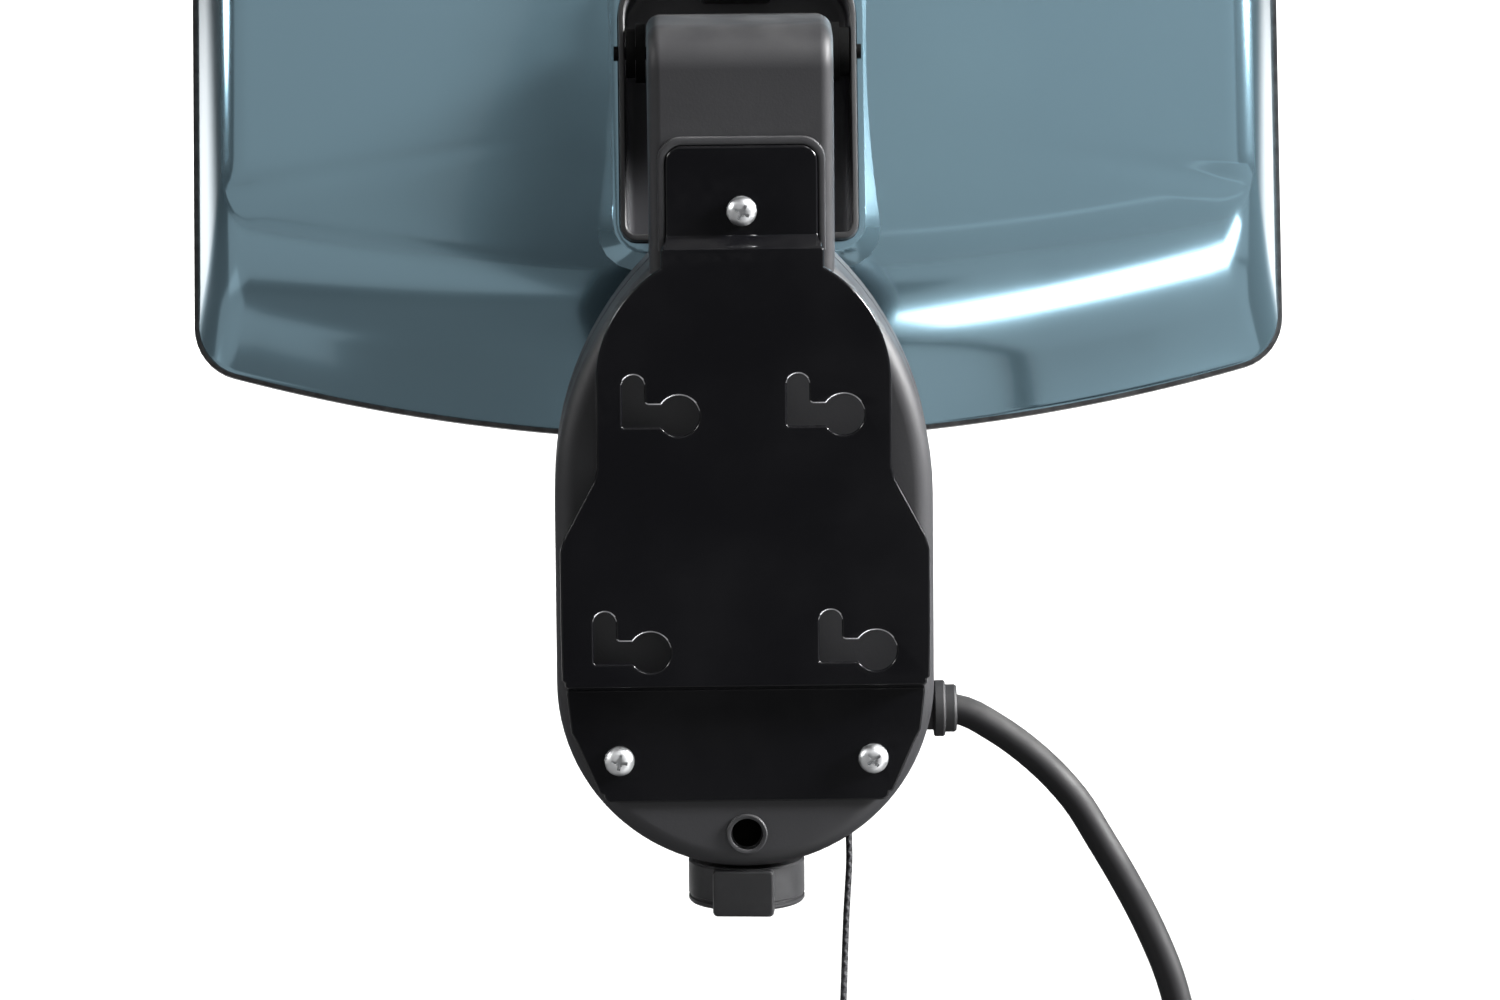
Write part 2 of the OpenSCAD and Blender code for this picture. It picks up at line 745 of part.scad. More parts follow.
module friction_washers() {
  room = tub_hw - tub_t - neck_hw - 2 * part_gap;
  color([0.65, 0.65, 0.67]) on_hood()
    for (side = [-1, 1], half = [0, 1]) difference() {
      x0 = neck_hw + part_gap + half * (room / 2 + 0.1);
      x1 = x0 + room / 2;
      r = half == 0 ? 9 : 7.5;
      rod_x(0, 0, r, side > 0 ? x0 : -x1, side > 0 ? x1 : -x0);
      rod_x(0, 0, pin_r + fit_gap, -tub_hw, tub_hw);
    }
}

// ---------- hood front ----------

frame_t = 4;
frame_in = 20;
frame_lip = 1;   // the frame stands this far out from the rim
frame_screw_at = [for (x = [-120, 120], side = [-1, 1]) [x, side * (rim_hh - 26.7)]];
frame_screw_r = 1.5;
wing_w = rim_hh - 26.7;
plate_w = 62;
trough_d = 41;
sheet_t = 0.8;
wire_d = rim_d + frame_t - wire_r - 0.4;

// Half width of the frame's opening at a height
function inner_width(w) = let (r = bow_r - frame_in, rise = abs(w) - rim_hh + frame_in + r)
  min(rim_hw - frame_in, sqrt(max(r * r - rise * rise, 1)));

module front_frame() {
  color([0.05, 0.05, 0.055]) on_hood() difference() {
    slab(rim_d, rim_d + frame_t) difference() {
      polygon(bow_outline(rim_hw + frame_lip, rim_hh + frame_lip, bow_r + frame_lip,
                          rim_corner + frame_lip));
      polygon(bow_outline(rim_hw - frame_in, rim_hh - frame_in, bow_r - frame_in, 8));
    }
    for (s = frame_screw_at)
      rod_y(s[0], s[1], frame_screw_r + fit_gap, rim_d - 1, rim_d + frame_t + 1);
  }
}

module frame_screws() {
  color([0.7, 0.71, 0.73]) on_hood() for (s = frame_screw_at)
    translate([0, 2 * (rim_d + frame_t), 0]) mirror([0, 1, 0])
      screw(s[0], s[1], rim_d + frame_t, frame_screw_r, frame_t + 6, 2.8, 1.8);
}

weld_gap = 0.02;

module guard_grille() {
  rows = floor((rim_hh - frame_in - 8) / wire_pitch);
  color([0.8, 0.81, 0.83]) on_hood() {
    for (i = [-rows : rows]) {
      w = i * wire_pitch;
      hw = inner_width(abs(w) + wire_r) - fit_gap;
      rod_x(wire_d, w, wire_r, -hw, hw);
    }
    for (x = [-100, 0, 100])
      rod_z(x, wire_d - 2 * wire_r - weld_gap, wire_r, -rows * wire_pitch - 0.5,
            rows * wire_pitch + 0.5);
  }
}

module trough_profile() {
  difference() {
    for (i = [-1 : 1]) translate([trough_d, i * quartz_pitch]) circle(trough_r + sheet_t);
    for (i = [-1 : 1]) translate([trough_d, i * quartz_pitch]) circle(trough_r);
    translate([trough_d, -wing_w]) square([60, 2 * wing_w]);
  }
  // Flat lands between the troughs and along both long edges
  for (i = [-1, 1]) translate([trough_d - sheet_t, 0]) {
    translate([0, i * quartz_pitch / 2 - (quartz_pitch / 2 - trough_r)])
      square([sheet_t, quartz_pitch - 2 * trough_r]);
    translate([0, i > 0 ? quartz_pitch + trough_r : -wing_w])
      square([sheet_t, wing_w - quartz_pitch - trough_r]);
  }
}

reflector_hl = 118;

module reflector() {
  color([0.85, 0.86, 0.88]) on_hood() slab_x(-reflector_hl, reflector_hl) trough_profile();
}

// The brackets stand just in from the reflector's ends
bracket_inset = 8;
bracket_x = reflector_hl - bracket_inset;

module reflector_brackets() {
  color([0.7, 0.71, 0.73]) on_hood() for (x = [-bracket_x, bracket_x], side = [-1, 1])
    box([x - 8, trough_d, side > 0 ? wing_w - 5 : -wing_w],
        [x + 8, rim_d, side > 0 ? wing_w : 5 - wing_w]);
}

cap_r = 7.5;
cap_len = 16;

module end_plates() {
  color([0.8, 0.81, 0.83]) on_hood() for (side = [-1, 1]) difference() {
    x0 = side > 0 ? reflector_hl : -reflector_hl - 2;
    box([x0, 24, -plate_w], [x0 + 2, trough_d + 8, plate_w]);
    for (i = [-1 : 1])
      rod_x(trough_d, i * quartz_pitch, quartz_r + 0.3, x0 - 1, x0 + 3);
  }
}

module quartz_tubes() {
  color([0.92, 0.9, 0.86]) on_hood() for (i = [-1 : 1])
    rod_x(trough_d, i * quartz_pitch, quartz_r, -quartz_hl, quartz_hl);
}

module ceramic_caps() {
  color([0.9, 0.88, 0.8]) on_hood() for (i = [-1 : 1], side = [-1, 1]) difference() {
    x0 = reflector_hl + 2;
    rod_x(trough_d, i * quartz_pitch, cap_r, side > 0 ? x0 : -x0 - cap_len,
          side > 0 ? x0 + cap_len : -x0);
    rod_x(trough_d, i * quartz_pitch, quartz_r + fit_gap, -quartz_hl - fit_gap,
          quartz_hl + fit_gap);
  }
}

hood_block_low = [58, 5.2, -14];
hood_block_high = [82, 16, 14];

module hood_terminal_block() {
  color([0.9, 0.9, 0.86]) on_hood() difference() {
    box(hood_block_low, hood_block_high);
    for (w = [-9, 0, 9]) rod_y(70, w, 1.8, 10, 17);
  }
}

module thermal_cutout() {
  color([0.6, 0.6, 0.62]) on_hood() {
    rod_y(-75, 0, 8, 4.9, 12);
    box([-85, 4.9, -2.5], [-65, 6.6, 2.5]);
  }
}

hood_wire_r = 1.2;
hood_wire_d = 14;
hood_wire_end = 128;

module hood_wires() {
  color([0.8, 0.8, 0.78]) on_hood() for (i = [-1 : 1]) {
    w = i * quartz_pitch;
    start = i * 9;
    x = 96 + 8 * i;
    if (i == 0) rod_x(hood_wire_d, w, hood_wire_r, hood_block_high[0], hood_wire_end);
    else {
      rod_x(hood_wire_d, start, hood_wire_r, hood_block_high[0], x);
      translate([x, hood_wire_d, start]) sphere(hood_wire_r + 0.15, $fn = 24);
      rod_z(x, hood_wire_d, hood_wire_r, min(start, w), max(start, w));
      translate([x, hood_wire_d, w]) sphere(hood_wire_r + 0.15, $fn = 24);
      rod_x(hood_wire_d, w, hood_wire_r, x, hood_wire_end);
    }
    translate([hood_wire_end, hood_wire_d, w]) sphere(hood_wire_r + 0.15, $fn = 24);
    rod_y(hood_wire_end, w, hood_wire_r, hood_wire_d, trough_d - cap_r);
  }
}

// ---------- supply cord ----------

function unit(v) = v / norm(v);

// Tangent of a route at one of its points; both ends may be given one
function heading(path, i, ends) = ends && (i == 0 || i == len(path) - 1) ? ends
  : unit(path[min(i + 1, len(path) - 1)] - path[max(i - 1, 0)]);

// Rings of a round tube; one side of each ring faces along Y
function tube_rings(path, r, sides, ends) = [for (i = [0 : len(path) - 1])
  let (t = heading(path, i, ends), n2 = unit(cross(t, [0, 1, 0])), n1 = cross(n2, t))
  for (j = [0 : sides - 1]) let (a = 360 * (j + 0.5) / sides)
    path[i] + r * (cos(a) * n1 + sin(a) * n2)];

module sweep(path, r, sides, ends = undef) {
  last = len(path) - 1;
  polyhedron(tube_rings(path, r, sides, ends), concat(
    [for (i = [0 : last - 1], j = [0 : sides - 1])
      let (k = (j + 1) % sides, a = i * sides, b = a + sides)
      each [[a + j, b + k, b + j], [a + j, a + k, b + k]]],
    [[for (j = [sides - 1 : -1 : 0]) j]],
    [[for (j = [0 : sides - 1]) last * sides + j]]));
}

// Route of the cord in X and Z, from its clamp to the coil
lead_route = [[39, -60], [65, -60], [76, -66], [88, -76], [99, -88], [107, -101],
  [115, -115], [122, -129], [128, -144], [132, -160], [135, -177], [136, -195],
  [136, -213], [136, -222]];
tail_route = [[136, -222], [136, -231], [136, -250], [136, -270], [137, -290], [137, -300]];
coil_side = 6;
ring_count = 24;
layer_y = coil_pitch;
coil_at = [136 + coil_r, -222];
plug_at = [137, split_y + layer_y, -300];

// Centre of the coil's tube after t turns; it climbs where the spiral reverses
function coil_radius(t) = coil_r - coil_pitch * min(t, coil_turns - t);
function coil_climb(t) = min(max((t - coil_turns / 2 + 0.25) / 0.5, 0), 1);
function coil_point(t) = [coil_at[0] + coil_radius(t) * cos(180 + 360 * t),
  split_y + layer_y * coil_climb(t), coil_at[1] + coil_radius(t) * sin(180 + 360 * t)];
coil_path = [for (i = [0 : coil_turns * ring_count]) coil_point(i / ring_count)];

// Least gap between turns of the coil, from ring to ring
coil_gap = min([for (i = [0 : len(coil_path) - 1])
  for (j = [i + ring_count / 2 : len(coil_path) - 1])
    norm(coil_path[i] - coil_path[j]) - cord_d]);
echo(str("least gap of the coil to itself: ", coil_gap, " mm"));

module power_cord_lead() {
  color([0.1, 0.1, 0.11])
    sweep([for (p = lead_route) [p[0], split_y, p[1] + gland_z + 60]], cord_d / 2, 12);
}

module power_cord_coil() {
  color([0.1, 0.1, 0.11]) sweep(coil_path, cord_d / 2, coil_side, [0, 0, -1]);
}

module power_cord_tail() {
  color([0.1, 0.1, 0.11])
    sweep([for (p = tail_route) [p[0], split_y + layer_y, p[1]]], cord_d / 2, 12);
}

tie_t = 1.4;
tie_hw = 6;
// The tie goes round all turns at the top of the coil
tie_low = [coil_at[0] - tie_hw, split_y - cord_d / 2 - 0.5,
           coil_at[1] + coil_radius(coil_turns / 2) + 0.2 - cord_d / 2];
tie_high = [coil_at[0] + tie_hw, split_y + layer_y + cord_d / 2 + 0.5,
            coil_at[1] + coil_r + cord_d / 2 - 1.6];

module cord_tie() {
  color([0.05, 0.05, 0.05]) difference() {
    box(tie_low - [0, tie_t, tie_t], tie_high + [0, tie_t, tie_t]);
    box(tie_low - [1, 0, 0], tie_high + [1, 0, 0]);
  }
}

plug_r = 18.5;
plug_h = 38;

module plug_body() {
  color([0.1, 0.1, 0.11]) difference() {
    translate(plug_at) rotate_extrude()
      polygon([[0, 0], [6.5, 0], [7.5, -14], [13, -18], [plug_r - 1.5, -22],
               [plug_r, -24], [plug_r, -18 - plug_h], [plug_r - 1, -19 - plug_h],
               [0, -19 - plug_h]]);
    for (side = [-1, 1])
      rod_z(plug_at[0] + side * 9.5, plug_at[1], 2.4 + fit_gap,
            plug_at[2] - 20 - plug_h, plug_at[2] - 8 - plug_h);
  }
}

module plug_pins() {
  color([0.78, 0.78, 0.8]) for (side = [-1, 1])
    rod_z(plug_at[0] + side * 9.5, plug_at[1], 2.4,
          plug_at[2] - 38 - plug_h, plug_at[2] - 8.1 - plug_h);
}

mount_plate();
plate_screws();
rear_shell();
front_shell();
shell_gasket();
housing_screws();
cable_gland();
cord_clamp();
clamp_screws();
terminal_block();
terminal_screws();
switch_body();
lever_pin();
return_spring();
cord_eyelet();
selector_switch();
shaft_bush();
neck_cable();
switch_lever();
pull_cord();
pull_stop();
pull_toggle();
selector_shaft();
selector_knob();
tilt_pin();
pin_caps();
friction_washers();
pocket_tub();
tub_screws();
hood_shell();
front_frame();
frame_screws();
guard_grille();
reflector();
reflector_brackets();
end_plates();
ceramic_caps();
quartz_tubes();
hood_terminal_block();
thermal_cutout();
hood_wires();
power_cord_lead();
power_cord_coil();
power_cord_tail();
cord_tie();
plug_body();
plug_pins();
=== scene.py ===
from math import asin, cos, degrees, hypot, pi, radians, sin, sqrt

import bmesh
import bpy
from mathutils import Matrix, Quaternion, Vector


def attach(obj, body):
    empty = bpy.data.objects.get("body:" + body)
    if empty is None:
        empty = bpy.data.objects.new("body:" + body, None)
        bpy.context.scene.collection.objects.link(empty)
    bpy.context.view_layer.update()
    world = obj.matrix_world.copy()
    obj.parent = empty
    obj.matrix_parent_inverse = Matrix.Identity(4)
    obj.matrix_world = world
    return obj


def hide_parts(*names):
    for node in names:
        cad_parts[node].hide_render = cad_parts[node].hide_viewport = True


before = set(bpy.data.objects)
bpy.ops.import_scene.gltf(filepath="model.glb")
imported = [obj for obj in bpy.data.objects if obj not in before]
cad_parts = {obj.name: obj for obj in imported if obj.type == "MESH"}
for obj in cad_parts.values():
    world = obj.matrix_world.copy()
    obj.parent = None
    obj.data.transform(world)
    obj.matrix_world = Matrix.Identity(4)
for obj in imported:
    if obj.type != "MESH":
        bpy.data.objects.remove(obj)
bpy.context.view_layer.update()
scene = bpy.context.scene
mm = 0.001

# -------------------- camera
# The heater is looked at from the wall side, a little from above, through a long lens,
# so that the wall plate faces the lens and the hood hangs behind it.


def show(name, data):
    """Puts a mesh, a curve, a lamp or a camera into the scene."""
    made = bpy.data.objects.new(name, data)
    scene.collection.objects.link(made)
    return made


view_distance = 3000 * mm
view_down = radians(11.0)
view_turn = radians(-0.7)
view_roll = radians(-0.5)
aim = Vector((2.0, 30.0, 4.5)) * mm
picture_width = 1500
pixel = 0.3 * mm
sensor = 36.0

forward = Vector((-sin(view_turn) * cos(view_down), cos(view_turn) * cos(view_down), -sin(view_down)))
level = Vector((cos(view_turn), sin(view_turn), 0))
upward = level.cross(forward)
across = level * cos(view_roll) + upward * sin(view_roll)
above = upward * cos(view_roll) - level * sin(view_roll)
camera_data = bpy.data.cameras.new("camera")
camera_data.sensor_width = sensor
camera_data.lens = sensor * view_distance / (picture_width * pixel)
camera_data.clip_end = 60
camera = show("camera", camera_data)
turn = Matrix((across, above, -forward)).transposed().to_4x4()
camera.matrix_world = Matrix.Translation(aim - forward * view_distance) @ turn
scene.camera = camera


# -------------------- supply cord
# A round rubber cord that leaves the housing through its gland and hangs down; the
# length to spare is wound in two layers of turns, tied, and ends in a moulded plug.

def baked(drawn):
    """The mesh that an object's modifiers leave; the object itself goes."""
    made = bpy.data.meshes.new_from_object(drawn.evaluated_get(bpy.context.evaluated_depsgraph_get()))
    bpy.data.objects.remove(drawn)
    return made


def place(mesh, name, body, *materials):
    """Puts a mesh into the scene as a piece on a body, with its flats shaded flat."""
    drawn = show(name, mesh)
    drawn.modifiers.new("weighted", "WEIGHTED_NORMAL").keep_sharp = True
    made = baked(drawn)
    made.name = name
    if materials:
        made.materials.clear()
    for material in materials:
        made.materials.append(material)
    piece = show(name, made)
    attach(piece, body)
    return piece


def smooth(mesh, angle=35):
    """Rounds the shading, with creases where faces turn by more than the angle."""
    mesh.polygons.foreach_set("use_smooth", [True] * len(mesh.polygons))
    mesh.set_sharp_from_angle(angle=radians(angle))


def settle(form, mesh, angle=35):
    """Keeps a form as a mesh, with its normals outward and its creases sharp."""
    bmesh.ops.recalc_face_normals(form, faces=form.faces)
    form.to_mesh(mesh)
    form.free()
    smooth(mesh, angle)
    return mesh


def flow(points, steps):
    """Points of a smooth line through the given ones."""
    ends = [points[0] * 2 - points[1]] + list(points) + [points[-1] * 2 - points[-2]]
    line = []
    for a, b, c, d in zip(ends, ends[1:], ends[2:], ends[3:]):
        for k in range(steps):
            t = k / steps
            line.append(0.5 * ((2 * b) + (c - a) * t + (2 * a - 5 * b + 4 * c - d) * t * t
                               + (3 * b - a - 3 * c + d) * t ** 3))
    return line + [points[-1].copy()]


def wall_ring(outline, y):
    """Points drawn in X and Z, set at one distance from the wall."""
    return [Vector((x, y, z)) * mm for x, z in outline]


def tube(name, line, radius, sides):
    """A closed round tube along a line, with a map: u around it, v metres along it."""
    form = bmesh.new()
    chart = form.loops.layers.uv.new("along")
    rings = []
    lengths = [0.0]
    for i, p in enumerate(line):
        heading = (line[min(i + 1, len(line) - 1)] - line[max(i - 1, 0)]).normalized()
        n2 = heading.cross(Vector((0, 1, 0))).normalized()
        n1 = n2.cross(heading)
        turns = [2 * pi * j / sides for j in range(sides)]
        rings.append([form.verts.new(p + radius * (cos(t) * n1 + sin(t) * n2)) for t in turns])
        if i:
            lengths.append(lengths[-1] + (p - line[i - 1]).length)
    for i, (a, b) in enumerate(zip(rings, rings[1:])):
        for j in range(sides):
            k = (j + 1) % sides
            face = form.faces.new((a[j], a[k], b[k], b[j]))
            for loop, (u, v) in zip(face.loops, ((j, i), (j + 1, i), (j + 1, i + 1), (j, i + 1))):
                loop[chart].uv = (u / sides, lengths[v])
    form.faces.new(rings[0][::-1])
    form.faces.new(rings[-1])
    return settle(form, bpy.data.meshes.new(name), 50)


def node_group(name, inputs, outputs, kind="Shader"):
    """An empty node group with named sockets: (name, kind, value) in, (name, kind) out."""
    group = bpy.data.node_groups.new(name, kind + "NodeTree")
    for socket, sort, value in inputs:
        made = group.interface.new_socket(socket, in_out="INPUT", socket_type="NodeSocket" + sort)
        if value is not None:
            made.default_value = value
    for socket, sort in outputs:
        group.interface.new_socket(socket, in_out="OUTPUT", socket_type="NodeSocket" + sort)
    return group, group.nodes.new("NodeGroupInput").outputs, group.nodes.new("NodeGroupOutput").inputs


def give(tree, socket, value):
    """Links another socket to this one, or sets its value."""
    if isinstance(value, bpy.types.NodeSocket):
        tree.links.new(value, socket)
    else:
        socket.default_value = value


def node(tree, kind, **inputs):
    """Adds a node to a tree, with its inputs linked or set; gives its outputs."""
    made = tree.nodes.new(kind)
    for name, value in inputs.items():
        give(tree, made.inputs[name.replace("_", " ")], value)
    return made.outputs


def maths(tree, operation, *values):
    """A sum in a shader or geometry tree; its values are sockets or numbers."""
    made = tree.nodes.new("ShaderNodeMath")
    made.operation = operation
    for socket, value in zip(made.inputs, values):
        give(tree, socket, value)
    return made.outputs[0]


def noise(tree, scale, detail):
    """Noise on Object coordinates."""
    place_on = node(tree, "ShaderNodeTexCoord")["Object"]
    return node(tree, "ShaderNodeTexNoise", Vector=place_on, Scale=scale, Detail=detail)["Fac"]


def spread(tree, value, low, high):
    """Spreads a value between two limits over 0 to 1, and holds it there."""
    return node(tree, "ShaderNodeMapRange", Value=value, From_Min=low, From_Max=high)["Result"]


# Fine grain: the texture that a mould or a powder coat leaves.
grain_group, taken, given = node_group(
    "fine_grain", [("Scale", "Float", 2000.0), ("Height", "Float", 0.00002)], [("Normal", "Vector")])
relief = node(grain_group, "ShaderNodeBump", Distance=taken["Height"],
              Height=noise(grain_group, taken["Scale"], 2.0))
give(grain_group, given["Normal"], relief["Normal"])

# Handling marks: soft patches where a finish is a little duller.
mark_group, taken, given = node_group(
    "handling_marks",
    [("Scale", "Float", 30.0), ("Dull", "Float", 0.1), ("Roughness", "Float", 0.4)],
    [("Roughness", "Float"), ("Mask", "Float")])
patches = spread(mark_group, noise(mark_group, taken["Scale"], 5.0), 0.42, 0.66)
duller = maths(mark_group, "MULTIPLY_ADD", patches, taken["Dull"], taken["Roughness"])
give(mark_group, given["Roughness"], duller)
give(mark_group, given["Mask"], patches)

# Edge wear: edges and corners, broken up by noise.
wear_group, taken, given = node_group(
    "edge_wear", [("Amount", "Float", 0.5), ("Scale", "Float", 300.0)], [("Mask", "Float")])
edges = spread(wear_group, node(wear_group, "ShaderNodeNewGeometry")["Pointiness"], 0.52, 0.62)
broken = spread(wear_group, noise(wear_group, taken["Scale"], 4.0), 0.4, 0.62)
rubbed = maths(wear_group, "MULTIPLY", edges, broken)
give(wear_group, given["Mask"], maths(wear_group, "MULTIPLY", rubbed, taken["Amount"]))

# Settled dust: on what faces up, in soft drifts.
dust_group, taken, given = node_group(
    "settled_dust", [("Amount", "Float", 0.2), ("Scale", "Float", 60.0)], [("Mask", "Float")])
facing = node(dust_group, "ShaderNodeNewGeometry")["Normal"]
rise = node(dust_group, "ShaderNodeSeparateXYZ", Vector=facing)["Z"]
drifts = spread(dust_group, noise(dust_group, taken["Scale"], 6.0), 0.3, 0.7)
lying = maths(dust_group, "MULTIPLY", spread(dust_group, rise, 0.1, 1.0), drifts)
give(dust_group, given["Mask"], maths(dust_group, "MULTIPLY", lying, taken["Amount"]))


def use(tree, group, **values):
    """Places a shader group in a material, with its own values; gives its outputs."""
    made = tree.nodes.new("ShaderNodeGroup")
    made.node_tree = group
    for name, value in values.items():
        made.inputs[name].default_value = value
    return made.outputs


def mix(tree, mask, first, second):
    """Mixes two colours by a mask; each is a colour or a socket."""
    made = tree.nodes.new("ShaderNodeMix")
    made.data_type = "RGBA"
    give(tree, made.inputs["Factor"], mask)
    for socket, colour in zip([s for s in made.inputs if s.type == "RGBA"], (first, second)):
        give(tree, socket, (*colour, 1.0) if isinstance(colour, tuple) else colour)
    return [s for s in made.outputs if s.type == "RGBA"][0]


def blank(name):
    """A new material, with its tree and its shader's inputs."""
    made = bpy.data.materials.new(name)
    made.use_nodes = True
    return made, made.node_tree, made.node_tree.nodes["Principled BSDF"].inputs


dust_colour = (0.5, 0.49, 0.47)
coat_roughness = 0.05


def finish(name, colour, roughness, metallic=0.0, coat=0.0, grain_size=0.0006,
           grain_height=0.00001, tint=(1.08, 1.08, 1.08), dull=0.08, wear=0.0,
           worn=(0.5, 0.5, 0.5), dust=0.0, ior=1.5, patch=40.0):
    """A surface with grain, handling marks, and where asked edge wear and dust."""
    made, tree, shader = blank(name)
    for socket, value in (("Metallic", metallic), ("IOR", ior), ("Coat Weight", coat),
                          ("Coat Roughness", coat_roughness)):
        shader[socket].default_value = value
    marks = use(tree, mark_group, Scale=patch, Dull=dull, Roughness=roughness)
    base = mix(tree, marks["Mask"], colour, tuple(c * t for c, t in zip(colour, tint)))
    if wear:
        base = mix(tree, use(tree, wear_group, Amount=wear)["Mask"], base, worn)
    if dust:
        base = mix(tree, use(tree, dust_group, Amount=dust)["Mask"], base, dust_colour)
    texture = use(tree, grain_group, Scale=1.0 / grain_size, Height=grain_height)
    give(tree, shader["Base Color"], base)
    give(tree, shader["Roughness"], marks["Roughness"])
    give(tree, shader["Normal"], texture["Normal"])
    return made


def dress(material, *nodes):
    """Gives CAD nodes a material."""
    for name in nodes:
        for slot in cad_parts[name].material_slots:
            slot.material = material


cord_r = 4.5
cord_y = 30.0
coil_at = (136, -222)
coil_r = 61.6
coil_pitch = 9.6
coil_turns = 5
turn_steps = 72
lead_route = [(39, -60), (62, -60), (75, -66), (88, -76), (99, -88), (107, -101),
              (115, -115), (122, -129), (128, -144), (132, -160), (135, -177), (136, -195),
              (136, -213), coil_at]
tail_route = [coil_at, (136, -231), (136, -250), (136, -270), (137, -290), (137, -300)]


def coil_point(t):
    """A point of the coil after so many turns; it winds in, steps a layer, and winds out."""
    angle = pi + 2 * pi * t
    r = coil_r - coil_pitch * min(t, coil_turns - t)
    climb = min(max((t - coil_turns / 2 + 0.25) / 0.5, 0), 1)
    return Vector((coil_at[0] + coil_r + r * cos(angle), cord_y + coil_pitch * climb,
                   coil_at[1] + r * sin(angle))) * mm


lead = flow(wall_ring(lead_route, cord_y), 4)
coil = [coil_point(i / turn_steps) for i in range(1, coil_turns * turn_steps)]
tail = flow(wall_ring(tail_route, cord_y + coil_pitch), 4)
cord_line = lead + coil + tail
rubber = finish("cord_rubber", (0.006, 0.006, 0.007), 0.58, ior=1.36, grain_size=0.0012,
                grain_height=0.00002, dull=0.14, dust=0.12, patch=70)
power_cord = place(tube("power_cord", cord_line, cord_r * mm, 18), "power_cord", "base", rubber)
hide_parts("power_cord_lead", "power_cord_coil", "power_cord_tail")
dress(rubber, "plug_body")


# -------------------- pull cord
# A thin braided cord that works the switch: it runs from the crimped stop above the
# lever, through an eyelet in the housing, down to a turned toggle.

def braid(name, colour, light, strands, pitch):
    """Braided yarn: two sets of strands that cross, on the cord's own map, with the grooves painted
    darker and the crests lighter as painted shade.
    """
    made, tree, shader = blank(name)
    chart = tree.nodes.new("ShaderNodeUVMap")
    chart.uv_map = "along"
    spot_on = node(tree, "ShaderNodeSeparateXYZ", Vector=chart.outputs["UV"])
    waves = []
    for sign in (-1, 1):
        along = maths(tree, "MULTIPLY", spot_on["Y"], sign * 2 * pi / pitch)
        turned = maths(tree, "MULTIPLY_ADD", spot_on["X"], 2 * pi * strands, along)
        waves.append(maths(tree, "SINE", turned))
    height = spread(tree, maths(tree, "MAXIMUM", *waves), -1.0, 1.0)
    relief = node(tree, "ShaderNodeBump", Distance=0.0004, Height=height)
    shader["Roughness"].default_value = 0.75
    # Painted shade: the grooves take the dark colour, the raised strands the lighter one
    give(tree, shader["Base Color"], mix(tree, height, colour, light))
    give(tree, shader["Normal"], relief["Normal"])
    return made


pull_r = 1.0
pull_route = [(31, -56), (31, -70), (31, -80), (31, -90), (31, -100), (31, -108), (30, -125),
              (29, -150), (28, -175), (27, -200), (26, -225), (25, -250), (24, -275),
              (23, -300), (22, -325), (22, -330)]
pull_line = flow(wall_ring(pull_route, cord_y), 4)
pull_cord = place(tube("pull_cord_braid", pull_line, pull_r * mm, 12), "pull_cord_braid", "pull",
                  braid("pull_braid", (0.002, 0.002, 0.0025), (0.03, 0.03, 0.034), 2, 0.0034))
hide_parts("pull_cord")


# -------------------- studio
# A pale floor under the heater, lit bright behind it, and a dim room with soft lamps.
# Each panel is what one stretch of the hood mirrors; the streak lies along its bend.

floor_x, floor_near, floor_far, floor_z = 14, -2.5, 18, -1.2
floor_mesh = bpy.data.meshes.new("floor")
floor_mesh.from_pydata([(-floor_x, floor_near, floor_z), (floor_x, floor_near, floor_z),
                        (floor_x, floor_far, floor_z), (-floor_x, floor_far, floor_z)],
                       [], [(0, 1, 2, 3)])
floor = show("floor", floor_mesh)
floor_paint, _, paint = blank("floor_paint")
paint["Base Color"].default_value = (0.86, 0.86, 0.86, 1)
paint["Roughness"].default_value = 0.9
floor_mesh.materials.append(floor_paint)

room = bpy.data.worlds.new("room")
room.use_nodes = True
air = room.node_tree.nodes["Background"].inputs
air["Color"].default_value = (0.97, 0.98, 1.0, 1)
air["Strength"].default_value = 0.08
scene.world = room
scene.view_settings.view_transform = "Standard"

# A lamp with a narrow beam lights the heater and not the floor, which the hood mirrors
narrow = 90
beam_passes = bpy.data.collections.new("beam_passes")
beam_passes.objects.link(floor)
beam_passes.collection_objects[0].light_linking.link_state = "EXCLUDE"


def lamp(name, side, rise, distance, size, brightness, toward=(0, 0.03, 0), beam=180, lean=0):
    """A soft rectangular lamp, placed by its bearing from the wall side and its rise in
    degrees, and as bright as a white card in a light of that strength."""
    data = bpy.data.lights.new(name, "AREA")
    data.shape = "RECTANGLE"
    data.size, data.size_y = size
    data.energy = brightness * pi * size[0] * size[1]
    data.spread = radians(beam)
    made = show(name, data)
    a, b = radians(side), radians(rise)
    outward = Vector((sin(a) * cos(b), -cos(a) * cos(b), sin(b)))
    made.location = Vector(toward) + outward * distance
    turned = (-outward).to_track_quat("-Z", "Y") @ Quaternion((0, 0, 1), radians(lean))
    made.rotation_euler = turned.to_euler()
    if beam < narrow:
        made.light_linking.receiver_collection = beam_passes


